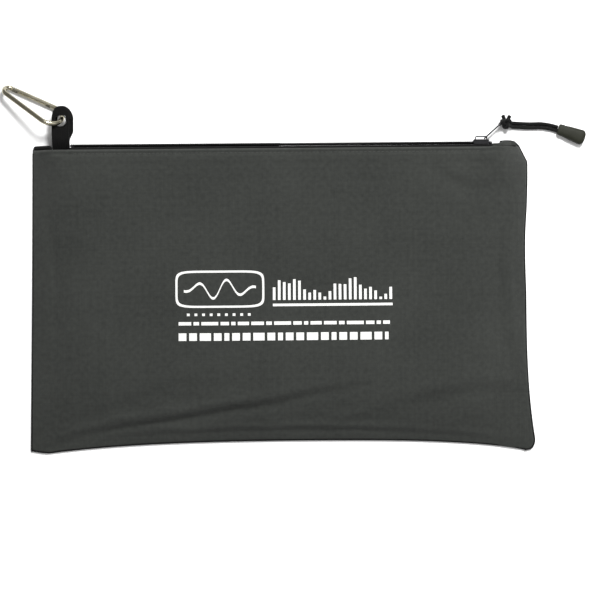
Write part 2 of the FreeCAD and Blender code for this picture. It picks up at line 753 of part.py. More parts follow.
NODES = {
    "back_panel": back_panel,
    "front_panel": front_panel,
    "bottom_seam": bottom_seam,
    "back_tape": lambda: tape(-1),
    "front_tape": lambda: tape(1),
    "back_tape_edge": lambda: tape_edge(-1),
    "front_tape_edge": lambda: tape_edge(1),
    "back_coil": lambda: coil(-1),
    "front_coil": lambda: coil(1),
    "bottom_stop": bottom_stop,
    "back_top_stop": lambda: top_stop(-1),
    "front_top_stop": lambda: top_stop(1),
    "zip_end_fold": zip_end_fold,
    "zip_close_fold": zip_close_fold,
    "front_topstitch": front_topstitch,
    "slider_body": slider_body,
    "slider_bridge": slider_bridge,
    "pull_loop": pull_loop,
    "cord_knot": cord_knot,
    "cord_tail_left": lambda: cord_tail(TAIL_ANGLES[0]),
    "cord_tail_right": lambda: cord_tail(TAIL_ANGLES[1]),
    "cord_strand_upper": lambda: cord_strand(1),
    "cord_strand_lower": lambda: cord_strand(-1),
    "cord_grip": cord_grip,
    "tab_webbing": tab_webbing,
    "bar_tack": bar_tack,
    "eyelet_barrel": eyelet_barrel,
    "eyelet_washer": eyelet_washer,
    "carabiner_frame": carabiner_frame,
    "gate_barrel": gate_barrel,
    "gate_rivet": gate_rivet,
    "latch_pin": latch_pin,
    "gate_plunger": gate_plunger,
    "gate_spring": gate_spring,
}


def main():
    """Build each node and write it to its own STEP file."""
    os.makedirs("parts", exist_ok=True)
    for name, build in NODES.items():
        shape = build()
        solids = shape.Solids
        if len(solids) == 1:
            shape = solids[0]
        box = shape.BoundBox
        print(
            f"{name}: solids {len(solids)} valid {shape.isValid()} volume {shape.Volume:.1f} "
            f"x {box.XMin:.1f} {box.XMax:.1f} y {box.YMin:.1f} {box.YMax:.1f} z {box.ZMin:.2f} {box.ZMax:.2f}"
        )
        shape.exportStep(os.path.join("parts", name + ".step"))


main()
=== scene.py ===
"""Finishes a packed zip pouch: woven cloth, sewn lips, coil zip, cord pull, webbing tab, metal and a studio.

The script is laid out as a Blender add-on. Every size below is in millimetres, in the frame of the CAD model:
+X along the zip, +Y towards the zip, +Z up out of the front panel.
"""

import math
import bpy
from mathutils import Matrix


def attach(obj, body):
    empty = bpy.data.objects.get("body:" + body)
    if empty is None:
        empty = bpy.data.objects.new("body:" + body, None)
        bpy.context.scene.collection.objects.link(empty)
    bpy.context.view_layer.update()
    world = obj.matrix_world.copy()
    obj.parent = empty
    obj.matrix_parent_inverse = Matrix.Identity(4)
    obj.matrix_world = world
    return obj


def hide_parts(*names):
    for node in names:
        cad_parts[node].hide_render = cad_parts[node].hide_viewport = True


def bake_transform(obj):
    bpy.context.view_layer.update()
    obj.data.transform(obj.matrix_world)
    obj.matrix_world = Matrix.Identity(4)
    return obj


bl_info = {
    "name": "Zip Pouch Finisher",
    "version": (1, 0, 0),
    "blender": (4, 5, 0),
    "location": "View3D > Sidebar > Pouch",
    "description": "Builds the cloth, zip, cord and finish of a flat zip pouch over its packed CAD model",
    "category": "Add Mesh",
}

import bmesh
import bpy
import numpy as np
from bpy.props import FloatProperty, IntProperty, PointerProperty
from bpy.types import Operator, Panel, PropertyGroup
from mathutils import Vector

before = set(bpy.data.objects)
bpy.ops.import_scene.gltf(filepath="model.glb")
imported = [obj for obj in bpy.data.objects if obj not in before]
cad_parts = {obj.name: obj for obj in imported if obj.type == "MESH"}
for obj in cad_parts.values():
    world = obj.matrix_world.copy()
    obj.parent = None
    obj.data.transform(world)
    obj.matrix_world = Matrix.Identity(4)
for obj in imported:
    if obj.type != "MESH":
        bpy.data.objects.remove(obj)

MM = 0.001
HALF_WIDTH = 177.8
LIP_EDGE_Y = 106.0
BOTTOM_MIDDLE = (20.0, -105.3)
LEFT_FLARE = 2.9
MOUTH = 13.2
ZIP_Z = MOUTH / 2
ZIP_LEFT = -149.5
ZIP_RIGHT = 154.0
PIVOT = (148.1, 111.05, ZIP_Z)
WIRE_ANGLE = 42.0
WIRE_LOOP_LENGTH = 16.0
KNOT = (163.8, 121.9, 4.45)
CORD_ROUTE = ((168.2, 120.9), (180.0, 119.9), (192.5, 120.5), (201.6, 117.6))
CORD_APART = 2.8
GRIP_START = (201.4, 117.7)
GRIP_ANGLE = -20.5
TAB_X = -156.2
TAB_HALF = 6.3
EYELET_Y = 125.6
EYELET_Z = 9.990
TAB_TOP_Y = 136.7
EYELET = (TAB_X, EYELET_Y, EYELET_Z)
PANEL_HEIGHT = 216.0
SEAM_SLOPE = 62.0
MOUTH_SLOPE = 14.0
SLUMP = 2.6
SEAM_HEIGHT = 1.9
LOWEST_FACE = 0.9
STITCH_Y = 102.4
LIP_SHORT = 1.15
COIL_Y = 107.72
COIL_Z = 1.32
COIL_START = -149.3
COIL_END = 146.0
FLOOR_GAP = 0.05
GRIP_LENGTH = 20.5
GRIP_MIDDLE_Z = 3.05
WIRE_RADIUS = 0.55
WIRE_BEND = 2.15
LAYER_LIFT = 0.5
LAYER_SHIFT = 2.9
STRAP_FLAT_Z = 2.55
STRAP_HOLE = 4.3
STRAP_HALF_THICKNESS = 0.45
INK_LIFT = 0.12
INK_STEP = 1.2
HELD_TO = 2.0
CLOTH_PHYSICS = {
    "quality": 6,
    "mass": 0.15,
    "tension_stiffness": 20.0,
    "compression_stiffness": 20.0,
    "shear_stiffness": 8.0,
    "bending_stiffness": 0.6,
    "vertex_group_mass": "sewn",
}
BARREL_PROFILE = (
    (3.9, -1.3), (3.9, 0.9), (4.0, 1.22), (4.25, 1.42), (4.6, 1.4),
    (4.95, 1.22), (5.1, 1.0), (5.0, 0.96), (4.3, 0.96), (4.28, -1.3),
)
WASHER_PROFILE = ((4.2, -1.36), (4.4, -1.42), (4.8, -1.34), (5.1, -1.1), (5.0, -0.96), (4.2, -0.96))
TAPE_PROFILE = (
    (92.0, 1.65), (105.3, 1.65), (106.1, 2.2), (106.45, 3.0), (106.45, 5.2),
    (106.05, 5.2), (106.0, 3.0), (105.5, 2.3), (105.0, 2.1), (92.0, 2.1),
)
HEM_PROFILE = ((96.0, 0.85), (96.3, 1.5), (97.0, 1.62), (104.8, 1.62), (105.8, 1.3), (106.0, 0.85))
# path of the painted-shade roll over the closed end's corner
CORNER_ROLL = (
    (171.0, 107.3, 1.6), (169.6, 108.3, 3.0), (166.8, 108.75, 4.6), (163.0, 108.75, 6.0), (159.4, 108.4, 6.6),
)
ROLL_RADIUS = 0.95
FRAME_X = -42.5
FRAME_Y = 5.0
WAVE_LENGTH = 20.0
BAR_COUNT = 24
BAR_STEP = 3.6
BAR_WIDTH = 1.9
CAMERA_AT = (0.0110, -0.0005)
CAMERA_ROLL = -0.45
TABLE_HALF = 1500.0
TABLE_Z = -0.02
SIDES = ((-1, "left"), (1, "right"))


# ---- settings ----


class PouchClothSettings(PropertyGroup):
    """Cloth of the two panels."""

    columns: IntProperty(name="Columns", description="Grid cells along the zip", default=260, min=40)
    rows: IntProperty(name="Rows", description="Grid cells from the bottom to the zip", default=160, min=30)
    thickness: FloatProperty(
        name="Thickness", description="Thickness of the cloth", default=0.0008, subtype="DISTANCE"
    )
    slack: FloatProperty(name="Slack", description="How much larger the cloth is", default=0.012)


class PouchTrimSettings(PropertyGroup):
    """Zip, sewing and cord."""

    coil_pitch: FloatProperty(
        name="Coil pitch", description="Length of one turn of the coil", default=0.00127, subtype="DISTANCE"
    )
    stitch: FloatProperty(
        name="Stitch", description="Length of one stitch and its gap", default=0.0031, subtype="DISTANCE"
    )
    cord: FloatProperty(name="Cord", description="Diameter of the cord", default=0.0026, subtype="DISTANCE")


class PouchStageSettings(PropertyGroup):
    """Camera and light."""

    view_width: FloatProperty(
        name="View width", description="Width of the picture at the table", default=0.426, subtype="DISTANCE"
    )
    key_power: FloatProperty(
        name="Key light", description="Power of the main light", default=24.0, unit="POWER"
    )


# ---- surfaces ----


def linear(hex_colour):
    """An sRGB hex colour as linear red, green, blue and 1 for alpha."""
    values = [int(hex_colour[i : i + 2], 16) / 255 for i in (1, 3, 5)]
    return [v / 12.92 if v <= 0.04045 else ((v + 0.055) / 1.055) ** 2.4 for v in values] + [1.0]


def grid_uv(rows, columns):
    """UV over a grid from one value a row and one value a column."""
    return np.stack(np.meshgrid(rows, columns, indexing="ij"), 2)


def superellipse(around, power):
    """The cosine and sine of angles, raised to a power with their signs kept: a circle made squarer."""
    c, s = np.cos(around), np.sin(around)
    return np.sign(c) * np.abs(c) ** power, np.sign(s) * np.abs(s) ** power


def circle(count):
    """Even angles once round."""
    return np.linspace(0, 2 * math.pi, count, endpoint=False)


def direction(degrees):
    """A level unit vector at an angle from +X."""
    turn = math.radians(degrees)
    return np.array([math.cos(turn), math.sin(turn), 0.0])


def dome(share):
    """0 at 1 and 1 at 0, along a quarter of a circle."""
    return 1 - np.sqrt(np.clip(1 - (1 - np.clip(share, 0, 1)) ** 2, 0, 1))


def grid_patch(points, uv, wrap_u=False, wrap_v=False):
    """Quads over a grid of points; uv has one more row or column where the grid wraps."""
    n, m = points.shape[:2]
    index = np.arange(n * m).reshape(n, m)
    if wrap_u:
        index = np.concatenate([index, index[:1]], 0)
    if wrap_v:
        index = np.concatenate([index, index[:, :1]], 1)

    def corners(a):
        return np.stack([a[:-1, :-1], a[1:, :-1], a[1:, 1:], a[:-1, 1:]], 2)

    quads = corners(index).reshape(-1, 4)
    loops = corners(uv).reshape(-1, 4, 2)
    return points.reshape(-1, 3), quads, loops


def flipped(patch):
    """The same patch facing the other way."""
    return patch[0], patch[1][:, ::-1], patch[2][:, ::-1]


def make_object(name, patches, material, weld=2e-6, smooth_angle=None):
    """One mesh object from patches in millimetres, welded where they meet."""
    points = np.concatenate([p[0] for p in patches]) * MM
    starts = np.cumsum([0] + [len(p[0]) for p in patches[:-1]])
    quads = np.concatenate([p[1] + s for p, s in zip(patches, starts)])
    uv = np.concatenate([p[2] for p in patches]).reshape(-1, 2)
    mesh = bpy.data.meshes.new(name)
    mesh.vertices.add(len(points))
    mesh.vertices.foreach_set("co", points.astype(np.float32).ravel())
    mesh.loops.add(len(quads) * 4)
    mesh.loops.foreach_set("vertex_index", quads.astype(np.int32).ravel())
    mesh.polygons.add(len(quads))
    mesh.polygons.foreach_set("loop_start", np.arange(0, len(quads) * 4, 4, dtype=np.int32))
    mesh.update(calc_edges=True)
    layer = mesh.uv_layers.new(name="mm")
    layer.data.foreach_set("uv", uv.astype(np.float32).ravel())
    tidy = bmesh.new()
    tidy.from_mesh(mesh)
    bmesh.ops.remove_doubles(tidy, verts=tidy.verts, dist=weld)
    tidy.to_mesh(mesh)
    tidy.free()
    mesh.validate()
    mesh.shade_smooth()
    if smooth_angle is not None:
        mesh.set_sharp_from_angle(angle=math.radians(smooth_angle))
    obj = bpy.data.objects.new(name, mesh)
    bpy.context.scene.collection.objects.link(obj)
    mesh.materials.append(material)
    return obj


def frames_along(path, closed=False):
    """Two unit vectors across a path at each point, carried along it without twist."""
    ahead = np.roll(path, -1, 0) - np.roll(path, 1, 0)
    if not closed:
        ahead[0] = path[1] - path[0]
        ahead[-1] = path[-1] - path[-2]
    ahead /= np.linalg.norm(ahead, axis=1, keepdims=True)
    side = np.cross(ahead[0], [0.13, 0.31, 0.94])
    sides = []
    for direction in ahead:
        side = side - direction * np.dot(side, direction)
        side = side / np.linalg.norm(side)
        sides.append(side)
    sides = np.array(sides)
    return sides, np.cross(ahead, sides)


def tube_patch(path, radius, sides=16, closed=False, caps=True):
    """A round tube: every path point plus radius times the circle across the path, with rounded ends."""
    path = np.asarray(path, float)
    radius = np.broadcast_to(np.asarray(radius, float), (len(path),)).copy()
    if caps and not closed:
        turn = np.linspace(0, math.pi / 2, 5)[1:]
        first, last = path[0] - path[1], path[-1] - path[-2]
        first = first / np.linalg.norm(first)
        last = last / np.linalg.norm(last)
        head = path[0] + first * (radius[0] * np.sin(turn))[::-1, None] * 0.6
        tail = path[-1] + last * (radius[-1] * np.sin(turn))[:, None] * 0.6
        path = np.concatenate([head, path, tail])
        radius = np.concatenate([(radius[0] * np.cos(turn))[::-1], radius, radius[-1] * np.cos(turn)])
    across, up = frames_along(path, closed)
    around = circle(sides)
    ring = np.cos(around)[None, :, None] * across[:, None] + np.sin(around)[None, :, None] * up[:, None]
    points = path[:, None] + radius[:, None, None] * ring
    steps = np.linalg.norm(np.diff(path, axis=0, append=path[:1]), axis=1)
    along = np.concatenate([[0], np.cumsum(steps)])[: len(path) + (1 if closed else 0)]
    girth = np.linspace(0, 2 * math.pi * radius.max(), sides + 1)
    uv = grid_uv(along, girth)
    return flipped(grid_patch(points, uv, closed, True))


def revolve_patch(profile, centre, sides=64):
    """A closed profile of (radius, height) pairs turned about an upright axis through the centre."""
    profile = np.asarray(profile, float)
    around = circle(sides)
    x = profile[:, 0, None] * np.cos(around) + centre[0]
    y = profile[:, 0, None] * np.sin(around) + centre[1]
    z = profile[:, 1, None] + centre[2] + 0 * around
    points = np.stack([x, y, z], 2)
    uv = grid_uv(np.arange(len(profile) + 1.0), np.linspace(0, 30, sides + 1))
    return grid_patch(points, uv, True, True)


def shell_patches(points, uv, thickness, edge_thickness):
    """A sheet of cloth from its outer surface: the inner one lies a thickness below along the normal."""
    along = np.gradient(points, axis=0)
    up = np.gradient(points, axis=1)
    normal = np.cross(along, up)
    normal /= np.maximum(np.linalg.norm(normal, axis=2, keepdims=True), 1e-9)
    n, m = points.shape[:2]
    near_u, near_v = (np.minimum(np.arange(k), np.arange(k)[::-1]) for k in (n, m))
    near = np.minimum(near_u[:, None], near_v[None])
    share = np.clip(near / 3.0, 0, 1)[..., None]
    inner = points - normal * (edge_thickness + (thickness - edge_thickness) * share)
    border = np.concatenate(
        [
            np.stack([points[:, 0], inner[:, 0]], 1),
            np.stack([points[-1, 1:], inner[-1, 1:]], 1),
            np.stack([points[::-1, -1][1:], inner[::-1, -1][1:]], 1),
            np.stack([points[0, ::-1][1:], inner[0, ::-1][1:]], 1),
        ]
    )
    rim_uv = grid_uv(np.arange(len(border)) * 1.3, [0.0, thickness])
    return [grid_patch(points, uv), flipped(grid_patch(inner, uv)), flipped(grid_patch(border, rim_uv))]


def smooth_step(a, b, x):
    """0 below a, 1 above b, with level ends."""
    t = np.clip((x - a) / (b - a), 0, 1)
    return t * t * (3 - 2 * t)


# ---- materials ----


def add_node(tree, kind, inputs=None, **attributes):
    """A node with its attributes set and its inputs given as values or as sockets to link."""
    node = tree.nodes.new(kind)
    for key, value in attributes.items():
        setattr(node, key, value)
    for key, value in (inputs or {}).items():
        if isinstance(value, bpy.types.NodeSocket):
            tree.links.new(value, node.inputs[key])
        else:
            node.inputs[key].default_value = value
    return node


def sum_of(tree, operation, a, b=0.0, c=0.0):
    """The output of one Math node."""
    return add_node(tree, "ShaderNodeMath", {0: a, 1: b, 2: c}, operation=operation).outputs[0]


def new_material(name, comment, roughness, metallic=0.0, sheen=0.0):
    """A material with a Principled shader; returns it, its node tree and the shader."""
    material = bpy.data.materials.new(name)
    material.use_nodes = True
    material["comment"] = comment
    tree = material.node_tree
    shader = tree.nodes["Principled BSDF"]
    values = {
        "Roughness": roughness,
        "Metallic": metallic,
        "Sheen Weight": sheen,
        "Sheen Roughness": 0.5,
        "Specular IOR Level": 0.5 if metallic else 0.15,
    }
    for key, value in values.items():
        shader.inputs[key].default_value = value
    return material, tree, shader


def set_colour(tree, shader, share, low, high):
    """The shader's colour: two hex colours mixed by a socket."""
    mix = add_node(tree, "ShaderNodeMix", {0: share, 6: linear(low), 7: linear(high)}, data_type="RGBA")
    tree.links.new(mix.outputs[2], shader.inputs["Base Color"])


def set_roughness(tree, shader, height, span, roughness):
    """The shader's roughness: a span about its middle value, read from a socket."""
    rough = sum_of(tree, "MULTIPLY_ADD", height, span, roughness - span / 2)
    tree.links.new(rough, shader.inputs["Roughness"])


def noise(tree, vector, scale, detail=3.0):
    """Fractal noise over a vector, from 0 to 1."""
    node = add_node(tree, "ShaderNodeTexNoise", {"Vector": vector, "Scale": scale, "Detail": detail})
    return node.outputs["Fac"]


def set_bump(tree, shader, height, distance):
    """Bump from a height socket; distance in millimetres."""
    bump = add_node(tree, "ShaderNodeBump", {"Height": height, "Distance": distance * MM})
    tree.links.new(bump.outputs["Normal"], shader.inputs["Normal"])


def uv_parts(tree):
    """The UV in millimetres as a socket, and the node that parts it into its numbers."""
    uv = add_node(tree, "ShaderNodeUVMap", uv_map="mm").outputs[0]
    return uv, add_node(tree, "ShaderNodeSeparateXYZ", {0: uv})


def plain_weave(tree, warp_pitch, weft_pitch):
    """Plain weave over the UV in millimetres, with a warp or a weft thread on top in turn.

    Returns the UV, the height, the number of the warp and of the weft thread, and which of them is on top.
    """
    uv, parts = uv_parts(tree)
    x = sum_of(tree, "DIVIDE", parts.outputs[0], warp_pitch)
    y = sum_of(tree, "DIVIDE", parts.outputs[1], weft_pitch)
    round_x = sum_of(tree, "SINE", sum_of(tree, "MULTIPLY", sum_of(tree, "FRACT", x), math.pi))
    round_y = sum_of(tree, "SINE", sum_of(tree, "MULTIPLY", sum_of(tree, "FRACT", y), math.pi))
    number_x = sum_of(tree, "FLOOR", x)
    number_y = sum_of(tree, "FLOOR", y)
    odd = sum_of(tree, "FLOORED_MODULO", sum_of(tree, "ADD", number_x, number_y), 2.0)
    warp = sum_of(tree, "MULTIPLY", round_x, sum_of(tree, "MULTIPLY_ADD", round_y, 0.4, 0.6))
    weft = sum_of(tree, "MULTIPLY", round_y, sum_of(tree, "MULTIPLY_ADD", round_x, 0.4, 0.6))
    height = add_node(tree, "ShaderNodeMix", {0: odd, 2: warp, 3: weft}, data_type="FLOAT").outputs[0]
    return uv, height, number_x, number_y, odd


def woven_material(name, comment, low, high, warp_pitch, weft_pitch, depth, roughness, sheen):
    """Woven cloth: threads of slightly different shade, their crowns painted lighter and the gaps between
    them painted dark as shade, and faint broad patches.
    """
    material, tree, shader = new_material(name, comment, roughness, sheen=sheen)
    uv, height, number_x, number_y, odd = plain_weave(tree, warp_pitch, weft_pitch)
    warp, weft = (
        add_node(tree, "ShaderNodeTexWhiteNoise", {"W": number}, noise_dimensions="1D").outputs[0]
        for number in (number_x, number_y)
    )
    shade = add_node(tree, "ShaderNodeMix", {0: odd, 2: warp, 3: weft}, data_type="FLOAT").outputs[0]
    broad = noise(tree, uv, 0.018, 4.0)
    slub = noise(tree, uv, 0.32, 3.0)
    fine = noise(tree, uv, 1.7, 2.0)
    # painted light and shade: the weave's height lightens the crowns and darkens the gaps
    level = sum_of(tree, "MULTIPLY_ADD", shade, 0.14, sum_of(tree, "MULTIPLY", height, 0.5))
    for spots, gain, lift in ((broad, 0.5, -0.1), (slub, 0.7, -0.35), (fine, 0.3, -0.15)):
        level = sum_of(tree, "ADD", level, sum_of(tree, "MULTIPLY_ADD", spots, gain, lift))
    level = add_node(tree, "ShaderNodeClamp", {0: level}).outputs[0]
    set_colour(tree, shader, level, low, high)
    set_roughness(tree, shader, fine, 0.16, roughness)
    set_bump(tree, shader, sum_of(tree, "ADD", height, sum_of(tree, "MULTIPLY", fine, 0.35)), depth)
    return material


def metal_material(name, comment, low, high, roughness, scale):
    """Metal: fine drawn streaks and rubbed patches in colour, roughness and bump."""
    material, tree, shader = new_material(name, comment, roughness, metallic=1.0)
    place = add_node(tree, "ShaderNodeTexCoord").outputs["Object"]
    patches = noise(tree, place, scale, 5.0)
    fine = noise(tree, place, scale * 9, 3.0)
    level = sum_of(tree, "ADD", sum_of(tree, "MULTIPLY", patches, 0.7), sum_of(tree, "MULTIPLY", fine, 0.3))
    set_colour(tree, shader, level, low, high)
    set_roughness(tree, shader, fine, 0.2, roughness)
    set_bump(tree, shader, fine, 0.02)
    return material


def smooth_material(name, comment, low, high, roughness, scale, depth):
    """Plastic or rubber: fine speckle in colour, roughness and bump."""
    material, tree, shader = new_material(name, comment, roughness)
    place = add_node(tree, "ShaderNodeTexCoord").outputs["Object"]
    speckle = noise(tree, place, scale, 4.0)
    broad = noise(tree, place, scale / 12, 3.0)
    level = sum_of(tree, "ADD", sum_of(tree, "MULTIPLY", speckle, 0.5), sum_of(tree, "MULTIPLY", broad, 0.5))
    set_colour(tree, shader, level, low, high)
    set_roughness(tree, shader, speckle, 0.2, roughness)
    set_bump(tree, shader, speckle, depth)
    return material


def braid_material(name, comment, low, high, pitch, depth):
    """Braided cord: two families of slanted strands over the UV, lit on their crowns."""
    material, tree, shader = new_material(name, comment, 0.75, sheen=0.04)
    uv, parts = uv_parts(tree)
    plus = sum_of(tree, "ADD", parts.outputs[0], parts.outputs[1])
    minus = sum_of(tree, "SUBTRACT", parts.outputs[0], parts.outputs[1])
    one = sum_of(tree, "SINE", sum_of(tree, "MULTIPLY", plus, 2 * math.pi / pitch))
    two = sum_of(tree, "SINE", sum_of(tree, "MULTIPLY", minus, 2 * math.pi / pitch))
    height = sum_of(tree, "MULTIPLY_ADD", sum_of(tree, "MAXIMUM", one, two), 0.5, 0.5)
    fuzz = noise(tree, uv, 3.0, 3.0)
    level = sum_of(tree, "MULTIPLY", height, sum_of(tree, "MULTIPLY_ADD", fuzz, 0.6, 0.6))
    level = add_node(tree, "ShaderNodeClamp", {0: level}).outputs[0]
    set_colour(tree, shader, level, low, high)
    set_bump(tree, shader, height, depth)
    return material


def object_braid_material(name, comment, low, high):
    """Cord seen in object space, for curves without a UV map: fine slanted waves, painted lighter on their
    crowns and darker between them as light and shade.
    """
    material, tree, shader = new_material(name, comment, 0.75, sheen=0.04)
    place = add_node(tree, "ShaderNodeTexCoord").outputs["Object"]
    waves = []
    for turn in (0.9, -0.9):
        turned = add_node(tree, "ShaderNodeMapping", {"Vector": place, "Rotation": (0.0, 0.0, turn)})
        inputs = {"Vector": turned.outputs[0], "Scale": 260.0, "Distortion": 0.4}
        wave = add_node(tree, "ShaderNodeTexWave", inputs)
        waves.append(wave.outputs["Fac"])
    height = sum_of(tree, "MAXIMUM", waves[0], waves[1])
    fuzz = noise(tree, place, 2500.0, 2.0)
    # painted light and shade: the waves' height lightens the crowns and darkens the gaps
    level = sum_of(tree, "MULTIPLY", height, sum_of(tree, "MULTIPLY_ADD", fuzz, 0.6, 0.5))
    set_colour(tree, shader, level, low, high)
    set_bump(tree, shader, height, 0.16)
    return material


MATERIALS = {}


def make_materials():
    """Every material, each named after what it shows, the turned seam's being painted shade, with its
    comment, two colours and numbers.
    """
    rows = {
        "cloth": (
            woven_material, "woven polyester cloth", "600 denier plain weave, dark grey",
            "#1e201e", "#3b3d3a", 0.62, 0.58, 0.16, 0.82, 0.12,
        ),
        "binding": (
            woven_material, "black binding cloth", "fine black plain weave",
            "#030303", "#0e0e0e", 0.45, 0.45, 0.1, 0.9, 0.04,
        ),
        # edge: near-black colour that paints the shade where the cloth turns down at the seams
        "edge": (
            woven_material, "turned seam painted shade", "the panels' cloth where it is rolled tight and rubbed dark",
            "#040404", "#141514", 0.5, 0.5, 0.1, 0.9, 0.03,
        ),
        "tape": (
            woven_material, "zip tape", "fine woven polyester tape",
            "#020202", "#0a0a0a", 0.5, 0.8, 0.12, 0.9, 0.03,
        ),
        "webbing": (
            woven_material, "nylon webbing", "ribbed black webbing",
            "#020202", "#0b0b0a", 1.25, 0.75, 0.28, 0.9, 0.04,
        ),
        "ink": (
            woven_material, "screen print ink", "white plastisol ink that keeps the weave",
            "#c9cac7", "#f4f4f1", 0.62, 0.58, 0.1, 0.6, 0.0,
        ),
        "thread": (
            braid_material, "sewing thread", "twisted polyester thread",
            "#161716", "#4a4b49", 0.5, 0.08,
        ),
        "knot": (
            braid_material, "knotted nylon cord", "black braid over a core",
            "#020202", "#0c0c0c", 1.5, 0.14,
        ),
        "cord": (
            object_braid_material, "braided nylon cord", "black braid over a core",
            "#020202", "#0c0c0c",
        ),
        "coil": (
            smooth_material, "nylon coil", "extruded black nylon filament",
            "#020202", "#080808", 0.62, 900.0, 0.01,
        ),
        "grip": (
            smooth_material, "moulded rubber", "dark grey-green rubber with a fine spark texture",
            "#14150d", "#2a2b23", 0.6, 1400.0, 0.08,
        ),
        "slider": (
            smooth_material, "black lacquered zinc", "die-cast zinc under worn black lacquer",
            "#060607", "#17171a", 0.42, 260.0, 0.03,
        ),
        "floor": (
            smooth_material, "matt table top", "pale sprayed board",
            "#fdfdfd", "#ffffff", 0.8, 40.0, 0.02,
        ),
        "carabiner": (
            metal_material, "polished aluminium rod", "drawn and tumbled rod",
            "#6d6858", "#bdb8a4", 0.2, 160.0,
        ),
        "pin": (metal_material, "steel pin", "turned steel", "#8a8a88", "#c4c4c0", 0.3, 300.0),
        "nickel": (
            metal_material, "black nickel-plated brass", "dark plated eyelet",
            "#161717", "#3a3b3b", 0.18, 200.0,
        ),
        "wire": (
            metal_material, "blackened steel wire", "oil-black spring wire",
            "#1a1a1b", "#48484a", 0.38, 250.0,
        ),
    }
    for key, (make, *details) in rows.items():
        MATERIALS[key] = make(*details)


# ---- pouch surfaces ----


def bottom_y(x):
    """The bottom seam, bowed up in the middle, steeper towards the right."""
    away = x - BOTTOM_MIDDLE[0]
    steep = np.where(away > 0, 8.9e-9, 3.3e-9)
    corner = 4.0 * np.clip((-165 - x) / 14, 0, 1) ** 1.3
    return BOTTOM_MIDDLE[1] - 0.00012 * away**2 - steep * away**4 + corner


def left_x(y):
    """The left side seam: slanted outwards to the bottom."""
    down = np.clip((LIP_EDGE_Y - y) / PANEL_HEIGHT, 0, 1)
    return 0.5 - (HALF_WIDTH + LEFT_FLARE * down**1.3)


def right_x(y):
    """The right side seam: cut at the top corner, flared and rounded at the bottom one."""
    low = np.clip(-2 * y / PANEL_HEIGHT, 0, None)
    edge = HALF_WIDTH - 0.6 * np.sin(np.clip(y, 0, 60) / 60 * math.pi)
    edge = edge + 6.0 * low**3 + 1.5 * smooth_step(35, 88, y)
    cut = np.clip((y - 94.0) / 12.0, 0, 1) * 6.0
    below = np.clip((bottom_y(HALF_WIDTH) + 9 - y) / 9, 0, 1)
    return edge - cut - 9.0 * (1 - np.sqrt(1 - below**2))


def seam_distance(x, y):
    """How far inside the nearest of the three seams a place is."""
    return np.minimum(np.minimum(x - left_x(y), right_x(y) - x), y - bottom_y(x))


def spread_columns(s):
    """Even steps from -1 to 1, drawn together towards the side seams."""
    return 0.85 * s + 0.15 * np.sin(s * math.pi / 2)


def spread_rows(t):
    """Even steps from 0 to 1, drawn together towards the bottom seam and the zip."""
    return 0.8 * t + 0.2 * (1 - np.cos(t * math.pi)) / 2


def panel_grid(columns, rows):
    """x and y over a panel, finer at its edges: between the side seams, and from the bottom to the zip."""
    s = spread_columns(np.linspace(-1, 1, columns + 1))
    t = spread_rows(np.linspace(0, 1, rows + 1))
    s, t = np.meshgrid(s, t, indexing="ij")
    low = bottom_y(s * HALF_WIDTH)
    y = low + (LIP_EDGE_Y - low) * t
    left, right = left_x(y), right_x(y)
    return left + (right - left) * (s + 1) / 2, y


def grid_place(x, y):
    """Where a point lies in the panel's grid, as two shares from 0 to 1: panel_grid the other way round."""
    left, right = left_x(y), right_x(y)
    s = 2 * (x - left) / (right - left) - 1
    low = bottom_y(s * HALF_WIDTH)
    t = (y - low) / (LIP_EDGE_Y - low)
    even = np.linspace(0, 1, 800)
    return np.interp(s, spread_columns(2 * even - 1), even), np.interp(t, spread_rows(even), even)


def sample(field, u, v):
    """A field over the panel's grid, read between its points from the four around each place."""
    n, m = field.shape[0] - 1, field.shape[1] - 1
    u, v = np.clip(u * n, 0, n - 1e-6), np.clip(v * m, 0, m - 1e-6)
    i, j = u.astype(int), v.astype(int)
    a, b = (u - i)[..., None], (v - j)[..., None]
    low = field[i, j] * (1 - a) + field[i + 1, j] * a
    high = field[i, j + 1] * (1 - a) + field[i + 1, j + 1] * a
    return low * (1 - b) + high * b


def near_line(x, y, line):
    """Signed distance to a line of points, and how far along it the nearest place is, from 0 to 1."""
    best = np.full(x.shape, 1e9)
    signed = np.zeros(x.shape)
    share = np.zeros(x.shape)
    spans = len(line) - 1
    for i in range(spans):
        ax, ay = line[i]
        dx, dy = line[i + 1][0] - ax, line[i + 1][1] - ay
        t = np.clip(((x - ax) * dx + (y - ay) * dy) / (dx * dx + dy * dy), 0, 1)
        d = np.hypot(x - ax - t * dx, y - ay - t * dy)
        closer = d < best
        best = np.where(closer, d, best)
        signed = np.where(closer, np.where(dx * (y - ay) - dy * (x - ax) >= 0, d, -d), signed)
        share = np.where(closer, (i + t) / spans, share)
    return signed, np.sin(math.pi * np.clip(share, 0.02, 0.98)) ** 0.7


def along_line(x, y, line, width):
    """A ridge: 1 on a line of points, falling off across it over a width and fading at both ends."""
    away, fade = near_line(x, y, line)
    return np.exp(-((away / width) ** 2)) * fade


def across_line(x, y, line, width):
    """A fold: the cloth stands up on the line's left and drops over it to its right, within a few widths."""
    away, fade = near_line(x, y, line)
    return 1.65 * away / width * np.exp(-0.5 * (away / width) ** 2) * fade


